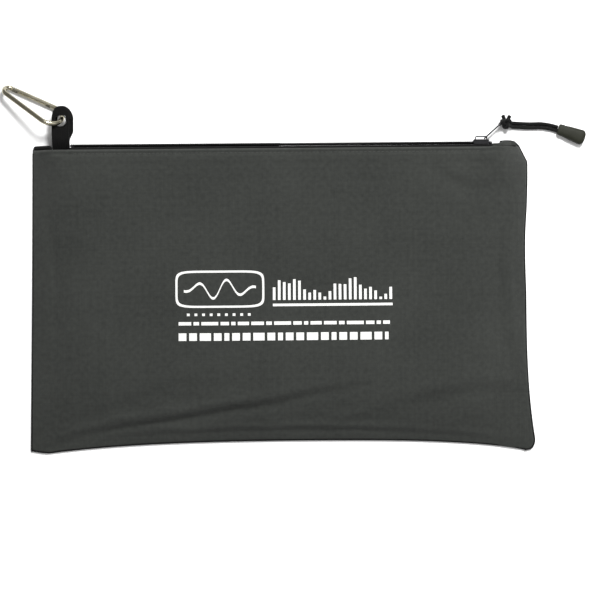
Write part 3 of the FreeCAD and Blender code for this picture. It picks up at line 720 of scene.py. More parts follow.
LONG_FOLD = (
    (-172, -109), (-145, -98.6), (-115, -92), (-74, -86), (-35, -78.7), (-7, -75.4), (22, -68), (60, -63),
)
FOLDS = (
    (LONG_FOLD, 3.4, 1.9),
    (((-150, -105), (-100, -99), (-30, -96), (60, -96), (130, -101), (168, -107)), 2.2, 0.75),
    (((60, -84), (105, -72), (140, -66), (172, -67)), 5.0, 1.0),
    (((168, 70), (160, 30), (163, -20), (170, -60)), 5.0, 0.8),
    (((-172, 72), (-163, 20), (-168, -60)), 5.0, -0.7),
    (((110, 98), (122, 84), (140, 78), (166, 84)), 5.0, 0.7),
    (((-40, -58), (-90, -66), (-150, -88)), 6.0, -0.6),
)
CREASES = (
    (((-172, 60), (-150, 20), (-140, -30)), 12.0, -0.4),
    (((-150, 98), (-128, 70), (-110, 30)), 10.0, -0.4),
    (((150, 98), (138, 62), (118, 20)), 12.0, -0.45),
    (((168, 96), (160, 82), (150, 76)), 5.0, -0.4),
    (((-60, 92), (-20, 84), (40, 86)), 8.0, -0.3),
    (((120, -100), (140, -80), (150, -50)), 8.0, 0.4),
    (((-120, -40), (-60, -20), (-10, -45)), 11.0, -0.25),
)


def ramp(distance, width):
    """0 at a seam, rising like the side of a dome to 1 at a width from it."""
    return 1 - (1 - np.clip(distance / width, 0, 1)) ** 2


def front_height(x, y):
    """Outer face of the front: low at the seams, full at the mouth, slumped between, with soft creases."""
    up = np.clip(y / PANEL_HEIGHT + 0.5, 0, 1)
    slope = SEAM_SLOPE + (MOUTH_SLOPE - SEAM_SLOPE) * up**3
    full = MOUTH - SLUMP * np.sin(math.pi * up) ** 2
    rise = ramp(x - left_x(y), slope) * ramp(right_x(y) - x, slope + 9.5) * ramp(y - bottom_y(x), SEAM_SLOPE)
    height = SEAM_HEIGHT + (full - SEAM_HEIGHT) * rise
    calm = np.clip((LIP_EDGE_Y - 8 - y) / 30, 0, 1) * np.clip(rise * 2, 0, 1)
    for line, width, depth in CREASES:
        height = height + calm * depth * along_line(x, y, line, width)
    low = np.clip((y - bottom_y(x)) / 7, 0, 1)
    for line, width, depth in FOLDS:
        height = height + low * depth * across_line(x, y, line, width)
    waves = np.sin(x / 31 + 0.8 * np.sin(y / 37)) * np.sin(y / 43 + 0.6 * np.sin(x / 29 + 1.0))
    waves = waves + 0.5 * np.sin(x / 13.0 + y / 21.0) * np.sin(y / 17.0 - x / 39.0)
    return height + 0.42 * calm * waves


def lip_shape(x, y, height):
    """The sewn lip: the hem's step, the stitch line's groove and the rounded fold at the edge."""
    mouth = smooth_step(-168, -160, x) * (1 - smooth_step(152, 162, x))
    hem = 0.35 * smooth_step(94.5, 96.5, y)
    groove = -0.7 * np.exp(-(((y - STITCH_Y) / 0.85) ** 2))
    fold = -1.5 * (1 - np.sqrt(np.clip(1 - np.clip((y - 104.5) / 1.5, 0, 1) ** 2, 0, 1)))
    pucker = -0.12 * np.exp(-(((y - STITCH_Y) / 2.5) ** 2)) * (0.5 + 0.5 * np.cos(x * 2 * math.pi / 6.2))
    return height + (hem + groove + pucker - 0.35) * mouth + fold


def seam_shape(x, y, height):
    """Rounds the outer face down to the back panel over the last 1.5 mm before the side and bottom seams."""
    return height - (height - LOWEST_FACE) * dome(seam_distance(x, y) / 1.5)


SETTLED = {}


def surface_point(x, y, lift=0.0):
    """The front's outer surface at x and y as the cloth settled, for the panel and what lies on it."""
    z = seam_shape(x, y, lip_shape(x, y, front_height(x, y))) + lift
    short = LIP_SHORT * smooth_step(97, 106, y) * (1 - smooth_step(150, 156, x)) * smooth_step(-178, -174, x)
    points = np.stack([x, y - short, z], -1)
    if "move" in SETTLED:
        points = points + sample(SETTLED["move"], *grid_place(x, y))
    return points


def settle(columns, rows, slack):
    """How far each point of the front moves when oversize cloth, sewn at its seams, settles on soft stuffing.

    It is a cloth simulation on a coarse grid, with its result held to 2 mm and smoothed.
    """
    x, y = panel_grid(columns, rows)
    start = surface_point(x, y)
    cloth = make_object("settling_cloth", [grid_patch(start, start[..., :2])], MATERIALS["cloth"], weld=1e-9)
    if len(cloth.data.vertices) != start.shape[0] * start.shape[1]:
        raise RuntimeError("the settling cloth lost points")
    held = 1 - smooth_step(3.0, 9.0, seam_distance(x, y)) * (1 - smooth_step(86.0, 93.0, y))
    group = cloth.vertex_groups.new(name="sewn")
    for weight in np.unique(held):
        group.add(np.flatnonzero(held.ravel() == weight).tolist(), float(weight), "REPLACE")
    under = start - [0.0, 0.0, 2.4]
    stuffing = make_object("stuffing", [grid_patch(under, under[..., :2])], MATERIALS["cloth"], weld=1e-9)
    stuffing.modifiers.new("stuffing", "COLLISION")
    stuffing.collision.thickness_outer = 0.001
    stuffing.collision.cloth_friction = 8.0
    modifier = cloth.modifiers.new("cloth", "CLOTH")
    for key, value in CLOTH_PHYSICS.items():
        setattr(modifier.settings, key, value)
    modifier.settings.shrink_min = -slack
    modifier.collision_settings.distance_min = 0.001
    modifier.collision_settings.use_self_collision = False
    scene = bpy.context.scene
    for number in range(1, 26):
        scene.frame_set(number)
    seen = cloth.evaluated_get(bpy.context.evaluated_depsgraph_get())
    ends = np.zeros(len(seen.data.vertices) * 3, np.float32)
    seen.data.vertices.foreach_get("co", ends)
    move = np.clip(ends.reshape(start.shape) / MM - start, -HELD_TO, HELD_TO) * (1 - held)[..., None]
    scene.frame_set(1)
    bpy.data.objects.remove(cloth)
    bpy.data.objects.remove(stuffing)
    return smoothed(move, 2, 0.5)


def smoothed(field, passes, share):
    """A field whose inner points move by a share towards the mean of their neighbours, some times over."""
    for _ in range(passes):
        inner = (field[:-2, 1:-1] + field[2:, 1:-1] + field[1:-1, :-2] + field[1:-1, 2:]) / 4
        field[1:-1, 1:-1] = (1 - share) * field[1:-1, 1:-1] + share * inner
    return field


def finer(move, columns, rows):
    """A coarse field on a finer grid of the same panel, smoothed so that the coarse cells don't show."""
    u, v = np.meshgrid(np.linspace(0, 1, columns + 1), np.linspace(0, 1, rows + 1), indexing="ij")
    return smoothed(sample(move, u, v), 6, 0.6)


def halves(points):
    """A grid cut into its left and right part at the column nearest to x = 0."""
    middle = int(np.argmin(np.abs(points[:, points.shape[1] // 2, 0])))
    return points[: middle + 1], points[middle:]


def bend_half(obj):
    """A left or right part, with its transform baked into its mesh."""
    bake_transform(obj)


def ride_on(obj, body, slot, *nodes):
    """The piece moves with a body and hides the CAD nodes it stands for; its slot is not used."""
    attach(obj, body)
    if nodes:
        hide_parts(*nodes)
    return obj


def finish_half(obj, side, slot, *nodes):
    """One half of a front piece: its transform baked in and the CAD nodes it stands for hidden; its slot is
    not used.
    """
    bend_half(obj)
    if nodes:
        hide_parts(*nodes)
    return obj


class POUCH_OT_front(Operator):
    """Builds the front panel of woven cloth in two halves."""

    bl_idname = "pouch.front"
    bl_label = "Front panel"

    def execute(self, context):
        cloth = context.scene.pouch_cloth
        coarse = settle(cloth.columns // 2, cloth.rows // 2, cloth.slack)
        SETTLED["move"] = finer(coarse, cloth.columns, cloth.rows)
        x, y = panel_grid(cloth.columns, cloth.rows)
        points = surface_point(x, y)
        for (side, word), part in zip(SIDES, halves(points)):
            patches = shell_patches(part, part[..., :2], cloth.thickness / MM, 0.25)
            obj = make_object(f"front_cloth_{word}", patches, MATERIALS["cloth"], smooth_angle=60)
            finish_half(obj, side, "pouch_cloth", "front_panel")
        return {"FINISHED"}


class POUCH_OT_back(Operator):
    """Builds the back panel, flat on the table with a slightly raised edge."""

    bl_idname = "pouch.back"
    bl_label = "Back panel"

    def execute(self, context):
        cloth = context.scene.pouch_cloth
        x, y = panel_grid(cloth.columns // 2, cloth.rows // 2)
        z = FLOOR_GAP + 0.3 * (1 - np.clip(seam_distance(x, y) / 1.5, 0, 1)) ** 2
        points = np.stack([x, y, z], 2)[::-1]
        patches = shell_patches(points, points[..., :2], cloth.thickness / MM, 0.3)
        obj = make_object("back_cloth", patches, MATERIALS["cloth"], smooth_angle=60)
        ride_on(obj, "pouch", "pouch_cloth", "back_panel")
        hem = sheet_along(np.linspace(-172, ZIP_RIGHT + 10, 120), HEM_PROFILE)
        hem = make_object("back_hem", [hem], MATERIALS["cloth"])
        ride_on(hem, "pouch", "pouch_cloth")
        return {"FINISHED"}


def sheet_along(xs, profile):
    """A surface swept along X from a profile of (y, z) pairs; UV is x and the length along the profile."""
    profile = np.asarray(profile, float)
    reach = np.concatenate([[0], np.cumsum(np.linalg.norm(np.diff(profile, axis=0), axis=1))])
    points = np.zeros((len(xs), len(profile), 3))
    points[..., 0] = xs[:, None]
    points[..., 1:] = profile[None]
    return grid_patch(points, grid_uv(xs, reach))


def ring_along(xs, profile):
    """A bar swept along X from a closed profile of (y, z) pairs, with its ends drawn in to close it."""
    profile = np.asarray(profile, float)
    centre = profile.mean(0)
    xs = np.concatenate([[xs[0]], xs, [xs[-1]]])
    grow = np.ones(len(xs))
    grow[0] = grow[-1] = 0.0
    points = np.zeros((len(xs), len(profile), 3))
    points[..., 0] = xs[:, None]
    points[..., 1:] = centre + (profile[None] - centre) * grow[:, None, None]
    reach = np.linspace(0, np.linalg.norm(np.diff(profile, axis=0), axis=1).sum(), len(profile) + 1)
    return [grid_patch(points, grid_uv(xs, reach), False, True)]


def tape_profile(sign):
    """The zip tape's L section as a closed loop: flat behind the hem, then turned across the mouth."""
    if sign > 0:
        return [(y, MOUTH - z) for y, z in TAPE_PROFILE]
    return TAPE_PROFILE[::-1]


def coil_path(sign, pitch, start, end):
    """A flattened helix along the zip: x grows by a pitch a turn while y and z go round an ellipse."""
    turns = (end - start) / pitch
    t = np.linspace(0, turns, int(turns * 12))
    shift = 0.0 if sign < 0 else 0.5
    angle = 2 * math.pi * t
    z = ZIP_Z + sign * (COIL_Z - 1.5 * np.cos(angle))
    y = COIL_Y + 0.95 * np.sin(angle)
    return np.stack([start + (t + shift) * pitch, y, z], 1)


class POUCH_OT_zip(Operator):
    """Builds the woven tapes, the two interlocking coils and the cloth at both ends of the zip."""

    bl_idname = "pouch.zip"
    bl_label = "Zip"

    def execute(self, context):
        pitch = context.scene.pouch_trim.coil_pitch / MM
        back = ring_along(np.linspace(ZIP_LEFT, ZIP_RIGHT, 130), tape_profile(-1))
        back = make_object("zip_tape_back", back, MATERIALS["tape"])
        ride_on(back, "pouch", "zip_tape", "back_tape", "back_tape_edge")
        coil = make_object("zip_coil_back", self.coil(-1, pitch, COIL_START, COIL_END), MATERIALS["coil"])
        ride_on(coil, "pouch", "zip_coil", "back_coil")
        for (side, word), low, high in zip(SIDES, (ZIP_LEFT, 0.0), (0.0, ZIP_RIGHT)):
            tape = ring_along(np.linspace(low, high, 66), tape_profile(1))
            tape = make_object(f"zip_tape_front_{word}", tape, MATERIALS["tape"])
            finish_half(tape, side, "zip_tape", "front_tape", "front_tape_edge")
            coil = self.coil(1, pitch, max(low, COIL_START), min(high, COIL_END))
            coil = make_object(f"zip_coil_front_{word}", coil, MATERIALS["coil"])
            finish_half(coil, side, "zip_coil", "front_coil")
        self.ends()
        return {"FINISHED"}

    def ends(self):
        """The folded cloth at both ends of the mouth and the front tape's stop."""
        xs = np.linspace(-176.9, -162.8, 22)
        top = np.interp(xs, [-177.2, -171.2, -164.2], [2.0, 7.0, 11.2])
        fold = self.corner(xs, 0.8, top, 106.55, 1.6, "zip_end_cloth", "binding")
        ride_on(fold, "pouch", "pouch_cloth", "zip_end_fold")
        xs = np.linspace(152.6, 171.5, 34)
        top = surface_point(xs, np.full(34, 104.6))[:, 2] - 0.5
        wall_x = np.linspace(154.5, 171.5, 34)
        wall = self.corner(wall_x, 0.9, np.interp(wall_x, xs, top), 105.95, 0.42, "zip_close_wall", "cloth")
        finish_half(wall, 1, "pouch_cloth")
        share = np.linspace(0, 1, len(xs))
        hump = 0.42 + 0.58 * smooth_step(0.22, 0.5, share)
        hump *= 1 - smooth_step(0.88, 1, share)
        fold = self.corner(xs, 6.4, top, 105.9 + 1.35 * hump, 0.45 + 1.05 * hump, "zip_close_cloth", "cloth")
        finish_half(fold, 1, "pouch_cloth", "zip_close_fold")
        xs = np.linspace(151.1, 153.3, 14)
        stop = self.corner(xs, 7.5, np.full(14, 9.6), 107.6, 1.1, "top_stop_front", "slider")
        finish_half(stop, 1, "slider_metal", "front_top_stop")

    def coil(self, sign, pitch, start, end):
        """One half of the coil: the filament's flattened helix round its straight filler cord."""
        xs = np.linspace(start, end, 120)
        filler = np.stack([xs, np.full(120, COIL_Y), np.full(120, ZIP_Z + sign * COIL_Z)], 1)
        return [tube_patch(coil_path(sign, pitch, start, end), 0.38, 6), tube_patch(filler, 0.7, 10)]

    def corner(self, xs, low, top, y, reach, name, material):
        """A soft wedge along X at one end of the mouth: superellipses whose height follows the cloth."""
        c, s = superellipse(circle(28), 0.6)
        close = np.sqrt(np.clip(1 - np.abs(np.linspace(-1, 1, len(xs))) ** 8, 0, 1))
        middle, half = (top + low) / 2, (top - low) / 2 * close
        points = np.zeros((len(xs), 28, 3))
        points[..., 0] = xs[:, None]
        points[..., 1] = (y + 0 * xs)[:, None] + (reach * close)[:, None] * c
        points[..., 2] = middle[:, None] + half[:, None] * s
        patch = grid_patch(points, grid_uv(xs, np.linspace(0, 22, 29)), False, True)
        return make_object(name, [patch], MATERIALS[material])


def stitch_patches(xs, y, radius, length):
    """One small arched thread a stitch: a tube whose middle stands above its ends."""
    patches = []
    t = np.linspace(-1, 1, 7)
    for x in xs:
        along = x + t * length / 2
        lift = radius * (0.9 - 1.5 * t**4)
        path = surface_point(along, np.full(7, y), lift)
        patches.append(tube_patch(path, radius * (1 - 0.35 * t**4), 6))
    return patches


class POUCH_OT_sewing(Operator):
    """Sews the lip's topstitch, the tab's bar tack and the seam tape inside the bottom."""

    bl_idname = "pouch.sewing"
    bl_label = "Sewing"

    def execute(self, context):
        step = context.scene.pouch_trim.stitch / MM
        xs = np.arange(ZIP_LEFT + 4, ZIP_RIGHT - 9, step)
        for side, word in SIDES:
            some = xs[xs < 0] if side < 0 else xs[xs >= 0]
            patches = stitch_patches(some, STITCH_Y, 0.3, step * 0.78)
            thread = make_object(f"lip_stitches_{word}", patches, MATERIALS["thread"])
            finish_half(thread, side, "thread", "front_topstitch")
        number = np.arange(41)
        zigzag = 99.0 - 0.8 * (-1.0) ** number
        path = np.stack([TAB_X - 4.8 + 0.24 * number, zigzag, np.full(41, 3.75)], 1)
        tack = make_object("tab_bar_tack", [tube_patch(path, 0.22, 6)], MATERIALS["thread"])
        ride_on(tack, "pouch", "thread", "bar_tack")
        seam = sheet_along(np.linspace(-150, 150, 80), ((1.2, 0.85), (1.4, 1.25), (2.8, 1.25), (3.0, 0.85)))
        seam[0][:, 1] += bottom_y(seam[0][:, 0])
        seam = make_object("bottom_seam_tape", [seam], MATERIALS["binding"])
        ride_on(seam, "pouch", "zip_tape", "bottom_seam")
        self.turned_edge_painted_shade()
        return {"FINISHED"}

    def turned_edge_painted_shade(self):
        """The tight roll where the cloth is turned at the seams and over the closed end's corner, in
        near-black cloth that paints the shade there.
        """
        x, y = panel_grid(180, 110)
        left = np.stack([x[0, ::-1] + 0.75, y[0, ::-1]], 1)
        low = np.stack([x[1:, 0], y[1:, 0] + 0.7], 1)
        right = np.stack([x[-1, 1:] - 0.7, y[-1, 1:]], 1)
        flat = np.concatenate([left[2:], low, right])
        path = np.concatenate([flat, np.full((len(flat), 1), ROLL_RADIUS)], 1)
        path = np.concatenate([path, CORNER_ROLL])
        # a near-black tube round the outline: painted shade where the cloth turns down
        edge = make_object("turned_seam_painted_shade", [tube_patch(path, ROLL_RADIUS, 10)], MATERIALS["edge"])
        ride_on(edge, "pouch", "pouch_cloth")


# ---- print ----


def ink_patch(x0, x1, low, high):
    """A patch of ink on the cloth between two x values; low and high are heights or functions of x."""
    columns = max(2, int((x1 - x0) / INK_STEP) + 1)
    xs = np.linspace(x0, x1, columns)
    base = low(xs) if callable(low) else np.full(columns, float(low))
    top = high(xs) if callable(high) else np.full(columns, float(high))
    rows = max(2, int((top - base).max() / INK_STEP) + 1)
    x = np.repeat(xs[:, None], rows, 1)
    y = base[:, None] + (top - base)[:, None] * np.linspace(0, 1, rows)
    return grid_patch(surface_point(x, y, INK_LIFT), np.stack([x, y], 2))


def ink_frame(cx, cy, half_w, half_h, width):
    """A rounded frame of ink: a band between two superellipses about one centre, each cut into even steps."""
    c, s = superellipse(np.linspace(0, 2 * math.pi, 6001), 0.3)
    rings = []
    for inset in np.linspace(0, width, 4):
        x, y = cx + (half_w - inset) * c, cy + (half_h - inset) * s
        reach = np.concatenate([[0], np.cumsum(np.hypot(np.diff(x), np.diff(y)))])
        even = np.linspace(0, reach[-1], 200, endpoint=False)
        rings.append(np.stack([np.interp(even, reach, x), np.interp(even, reach, y)], 1))
    flat = np.stack(rings, 0)
    points = surface_point(flat[..., 0], flat[..., 1], INK_LIFT)
    return flipped(grid_patch(points, np.concatenate([flat, flat[:, :1]], 1), False, True))


def dashes(x0, x1, low, high, gap, lengths):
    """A row of dashes whose lengths repeat in a cycle, until the row is full."""
    patches = []
    number = 0
    while x0 < x1 - 1.0:
        end = min(x0 + lengths[number % len(lengths)], x1)
        patches.append(ink_patch(x0, end, low, high))
        x0 = end + gap
        number += 1
    return patches


class POUCH_OT_print(Operator):
    """Prints a plain generic mark: a rounded frame with a wave in it, and plain bars beside and below."""

    bl_idname = "pouch.print"
    bl_label = "Print"

    def execute(self, context):
        left, right = [], []

        def add(patches):
            for patch in patches:
                (left if patch[0][:, 0].mean() < 0 else right).append(patch)

        def wave(x, lift):
            away = (x - FRAME_X) / WAVE_LENGTH
            return FRAME_Y + 7.0 * np.sin(away * 2 * math.pi) * np.exp(-(away**2)) + lift

        add([ink_frame(FRAME_X, FRAME_Y, 31.5, 13.2, 1.5)])
        add([ink_patch(-68.0, -17.0, lambda x: wave(x, -0.9), lambda x: wave(x, 0.9))])
        for number in range(BAR_COUNT):
            x = -5.0 + BAR_STEP * number
            tall = 9.0 + 5.0 * math.sin(number * 0.52) + 2.5 * math.sin(number * 1.7)
            add([ink_patch(x, x + BAR_WIDTH, -3.0, -3.0 + tall)])
        add([ink_patch(-5.0, 80.0, -7.4, -5.6)])
        add(dashes(-66.0, -20.0, -14.0, -12.2, 3.4, (2.0,)))
        add(dashes(-72.0, 78.0, -20.6, -18.2, 1.6, (9.0, 4.0, 12.0, 6.0, 3.0, 8.0)))
        add(dashes(-72.0, 77.0, -31.6, -26.2, 2.0, (5.5, 5.5, 8.0, 5.5, 3.5)))
        for (side, word), patches in zip(SIDES, (left, right)):
            obj = make_object(f"printed_mark_{word}", patches, MATERIALS["ink"])
            finish_half(obj, side, "pouch_cloth")
        return {"FINISHED"}


# ---- cord pull ----


def nurbs_curve(name, points, diameter, material):
    """A smooth cord: a NURBS curve of order 3 with round section and closed ends."""
    data = bpy.data.curves.new(name, "CURVE")
    data.dimensions = "3D"
    spline = data.splines.new("NURBS")
    spline.points.add(len(points) - 1)
    for item, place in zip(spline.points, points):
        item.co = (place[0] * MM, place[1] * MM, place[2] * MM, 1.0)
    spline.order_u = 3
    spline.use_endpoint_u = True
    spline.resolution_u = 16
    data.bevel_depth = diameter / 2
    data.bevel_resolution = 8
    data.use_fill_caps = True
    obj = bpy.data.objects.new(name, data)
    bpy.context.scene.collection.objects.link(obj)
    data.materials.append(material)
    return obj


class POUCH_OT_cord(Operator):
    """Builds the doubled cord, its knot with two cut tails, and the moulded end."""

    bl_idname = "pouch.cord"
    bl_label = "Cord"

    def execute(self, context):
        diameter = context.scene.pouch_trim.cord
        knot = self.knot(diameter / MM)
        grip = self.grip()
        height = diameter / MM / 2 + FLOOR_GAP
        for word, side, extra in (("upper", 1, [grip]), ("lower", -1, [knot])):
            route = [(x, y + side * CORD_APART / 2, height) for x, y in CORD_ROUTE]
            strand = nurbs_curve(f"cord_{word}", route, diameter, MATERIALS["cord"])
            ride_on(strand, "pull_cord", "cord_nylon", f"cord_strand_{word}")
        return {"FINISHED"}

    def knot(self, diameter):
        """A tight trefoil: x = sin t + 2 sin 2t, y = cos t - 2 cos 2t, z = -sin 3t, scaled to a ball."""
        t = circle(120)
        x, y, z = np.sin(t) + 2 * np.sin(2 * t), np.cos(t) - 2 * np.cos(2 * t), -1.35 * np.sin(3 * t)
        loop = np.stack([x, y, z], 1) * [1.12, 1.0, 1.3] + np.array(KNOT)
        patches = [tube_patch(loop, diameter / 2, 14, closed=True)]
        for angle, lift in ((112, 0.2), (62, -0.4)):
            reach = np.linspace(1.5, 5.7, 8)[:, None]
            path = np.array(KNOT) + direction(angle) * reach + [0, 0, lift]
            patches.append(tube_patch(path, diameter / 2 * np.linspace(0.95, 1.08, 8), 14))
        for side in (-1, 1):
            start = np.array(KNOT) + [1.5, side * 1.0, -1.5]
            end = [CORD_ROUTE[0][0] + 0.3, CORD_ROUTE[0][1] + side * CORD_APART / 2, diameter / 2 + FLOOR_GAP]
            t = np.linspace(0, 1, 10)[:, None]
            path = start + (end - start) * t + [0, 0, 0.9] * np.sin(t * math.pi)
            patches.append(tube_patch(path, diameter / 2, 14))
        out, up = direction(WIRE_ANGLE), np.array([0, 0, 1.0])
        wire_end = np.array(PIVOT) + WIRE_LOOP_LENGTH * out
        turn = circle(40)[:, None]
        ring = wire_end + out * (0.9 + 2.0 * np.cos(turn)) + up * (1.6 * np.sin(turn) - 0.6)
        patches.append(tube_patch(ring, diameter / 2 * 0.9, 12, closed=True))
        obj = make_object("cord_knot_tied", patches, MATERIALS["knot"], weld=1e-9)
        return ride_on(obj, "pull_cord", "cord_nylon", "cord_knot", "cord_tail_left", "cord_tail_right")

    def grip(self):
        """The moulded end: rounded sections that widen along it, closed by a rounded face at each end."""
        length = GRIP_LENGTH
        end = length - 3.4 + 3.4 * np.sin(np.linspace(0.05, 1, 14) * math.pi / 2)
        s = np.concatenate([[0.0], np.linspace(0.05, 1.2, 8), np.linspace(2, length - 3.6, 20), end])
        wide = np.interp(s, [0, length], [3.8, 5.6])
        tall = np.interp(s, [0, length * 0.5, length], [2.3, 2.95, 2.9])
        close = np.where(s < 1.2, np.sqrt(np.clip(1 - ((1.2 - s) / 1.2) ** 2, 0, 1)) * 0.25 + 0.75, 1.0)
        close = np.where(s <= 0.0, 0.0, close)
        far = np.clip((s - (length - 3.4)) / 3.4, 0, 1)
        close = close * np.sqrt(np.clip(1 - far**2, 0, 1)) ** 0.7
        groove = 1 - 0.07 * np.exp(-(((s - 4.2) / 0.5) ** 2)) - 0.05 * np.exp(-(((s - 5.9) / 0.5) ** 2))
        around = circle(48)
        c, sn = superellipse(around, 0.72)
        part_line = 1 + 0.03 * np.exp(-((np.sin(around) / 0.06) ** 2))
        across = (wide * close * groove)[:, None] * c * part_line
        high = GRIP_MIDDLE_Z + (tall * close * groove)[:, None] * sn
        ahead, left = direction(GRIP_ANGLE), direction(GRIP_ANGLE + 90)
        points = s[:, None, None] * ahead + across[..., None] * left + high[..., None] * np.array([0, 0, 1.0])
        points = points + [*GRIP_START, 0]
        uv = grid_uv(s, np.linspace(0, 28, 49))
        obj = make_object("cord_end_moulding", [grid_patch(points, uv, False, True)], MATERIALS["grip"])
        return ride_on(obj, "pull_cord", "grip_rubber", "cord_grip")


class POUCH_OT_pull(Operator):
    """Builds the wire loop through the slider and finishes the slider's own parts."""

    bl_idname = "pouch.pull"
    bl_label = "Slider and pull"

    def execute(self, context):
        half, far = WIRE_BEND, WIRE_LOOP_LENGTH
        turn = np.linspace(-math.pi / 2, math.pi / 2, 17)
        loop = np.concatenate(
            [
                np.stack([far - half + half * np.cos(turn), half * np.sin(turn)], 1),
                np.stack([np.linspace(far - half, half, 12)[1:-1], np.full(10, half)], 1),
                np.stack([half - half * np.cos(turn), -half * np.sin(turn)], 1),
                np.stack([np.linspace(half, far - half, 12)[1:-1], np.full(10, -half)], 1),
            ]
        )
        path = np.array(PIVOT) + loop[:, :1] * direction(WIRE_ANGLE) + loop[:, 1:] * np.array([0, 0, 1.0])
        wire = make_object("wire_pull", [tube_patch(path, WIRE_RADIUS, closed=True)], MATERIALS["wire"])
        ride_on(wire, "pull", "pull_wire", "pull_loop")
        for name in ("slider_body", "slider_bridge", "bottom_stop", "back_top_stop"):
            finish_node(name, MATERIALS["slider"], 0.25)
        return {"FINISHED"}


def finish_node(name, material, bevel):
    """A CAD node shown as it is, with its material and softly rounded edges."""
    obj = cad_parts[name]
    obj.data.materials.clear()
    obj.data.materials.append(material)
    if bevel:
        edge = obj.modifiers.new("soft edges", "BEVEL")
        edge.width = bevel * MM
        edge.segments = 3
        edge.limit_method = "ANGLE"
        edge.angle_limit = math.radians(40)


# ---- tab and eyelet ----


def strap_height(y):
    """Middle of the folded strap: flat on the hem, then a smooth rise to the eyelet."""
    return STRAP_FLAT_Z + (EYELET_Z - STRAP_FLAT_Z) * smooth_step(99.5, 113.5, y)


def strap_outline(around):
    """How far the strap reaches from the eyelet in each direction: straight sides below, an arch above."""
    c, s = np.cos(around), np.sin(around)
    reach_x = TAB_HALF / np.maximum(np.abs(c), 1e-6)
    reach_y = np.where(s > 0, TAB_TOP_Y - 0.9 - EYELET_Y, EYELET_Y - 97.0) / np.maximum(np.abs(s), 1e-6)
    power = 2.5 + 6.5 * smooth_step(0.0, 0.5, -s)
    return (reach_x**-power + reach_y**-power) ** (-1 / power)


def strap_points(x, y, shift, offset):
    """A point of the strap from its place beside the eyelet; the shifted layer swings out above the zip."""
    swing = shift * smooth_step(-15, -7, y) * (1 - 0.5 * smooth_step(2, 11, y))
    height = strap_height(EYELET_Y + y)
    curl = 0.35 * (x / TAB_HALF) ** 2 * smooth_step(-14, -9, y) * (1 - smooth_step(-7, -2, y))
    return np.stack([TAB_X + x + swing, EYELET_Y + y, height + offset + curl], -1)


def strap_layer(shift, offset):
    """One layer of the strap: rays from the eyelet's open hole out to the layer's outline."""
    around = circle(160)
    share = np.linspace(0, 1, 26)[:, None]
    radius = STRAP_HOLE + (strap_outline(around) - STRAP_HOLE) * share
    x, y = radius * np.cos(around), radius * np.sin(around)
    hole = 1 - smooth_step(0, 0.5, share)
    points = strap_points(x, y, shift, offset)
    points[..., 0] -= (points[..., 0] - TAB_X - x) * hole
    uv = np.stack([x, y], 2)
    uv = np.concatenate([uv, uv[:, :1]], 1)
    edge = STRAP_HALF_THICKNESS * (1 - dome((1 - share) / 0.06))
    lift, drop = points.copy(), points.copy()
    lift[..., 2] += edge
    drop[..., 2] -= edge
    rim = np.stack([lift[0], drop[0]], 0)
    rim_uv = np.stack([uv[0], uv[0] + [0, 0.9]], 0)
    return [
        grid_patch(lift, uv, False, True),
        flipped(grid_patch(drop, uv, False, True)),
        flipped(grid_patch(rim, rim_uv, False, True)),
    ]


def strap_fold(shift):
    """The fold over the top: half rings from the front layer's arched edge round to the back layer's."""
    around = np.radians(np.linspace(9, 171, 76))
    reach = strap_outline(around) - 0.25
    x, y = reach * np.cos(around), reach * np.sin(around)
    front, back = strap_points(x, y, 0.0, LAYER_LIFT), strap_points(x, y, shift, -LAYER_LIFT)
    turn = np.linspace(-math.pi / 2, math.pi / 2, 13)[None, :, None]
    out = np.stack([np.cos(around), np.sin(around), 0 * around], 1)[:, None]
    middle, half = (front + back)[:, None] / 2, (front - back)[:, None] / 2
    half = half + [0.0, 0.0, 0.42]
    points = middle + half * np.sin(turn) + out * 0.95 * np.cos(turn)
    return flipped(grid_patch(points, grid_uv(reach * around, np.linspace(0, 3, 13))))


class POUCH_OT_tab(Operator):
    """Builds the folded webbing tab and its plated eyelet."""

    bl_idname = "pouch.tab"
    bl_label = "Tab and eyelet"

    def execute(self, context):
        patches = strap_layer(0.0, LAYER_LIFT) + strap_layer(LAYER_SHIFT, -LAYER_LIFT)
        patches.append(strap_fold(LAYER_SHIFT))
        tab = make_object("tab_strap", patches, MATERIALS["webbing"], smooth_angle=50)
        ride_on(tab, "pouch", "webbing", "tab_webbing")
        for end, profile, node in (("front", BARREL_PROFILE, "barrel"), ("back", WASHER_PROFILE, "washer")):
            ring = make_object(f"eyelet_{end}", [revolve_patch(profile, EYELET)], MATERIALS["nickel"])
            ride_on(ring, "pouch", "eyelet_metal", f"eyelet_{node}")
        return {"FINISHED"}


# ---- carabiner ----


class POUCH_OT_carabiner(Operator):
    """Finishes the carabiner's frame, gate and pins."""

    bl_idname = "pouch.carabiner"
    bl_label = "Carabiner"

    def execute(self, context):
        for name in ("carabiner_frame", "gate_barrel"):
            finish_node(name, MATERIALS["carabiner"], 0.0)
        for name in ("gate_rivet", "latch_pin", "gate_plunger", "gate_spring"):
            finish_node(name, MATERIALS["pin"], 0.0)
        return {"FINISHED"}


# ---- stage ----


class POUCH_OT_camera(Operator):
    """Places the camera straight above, as wide as the picture needs."""

    bl_idname = "pouch.camera"
    bl_label = "Camera"

    def execute(self, context):
        stage = context.scene.pouch_stage
        data = bpy.data.cameras.new("camera")
        data.lens = 120.0
        data.sensor_width = 36.0
        distance = stage.view_width * data.lens / data.sensor_width
        camera = bpy.data.objects.new("camera", data)
        context.scene.collection.objects.link(camera)
        camera.location = (*CAMERA_AT, distance)
        camera.rotation_euler = (0.0, 0.0, math.radians(CAMERA_ROLL))
        context.scene.camera = camera
        data.clip_end = 20.0
        return {"FINISHED"}


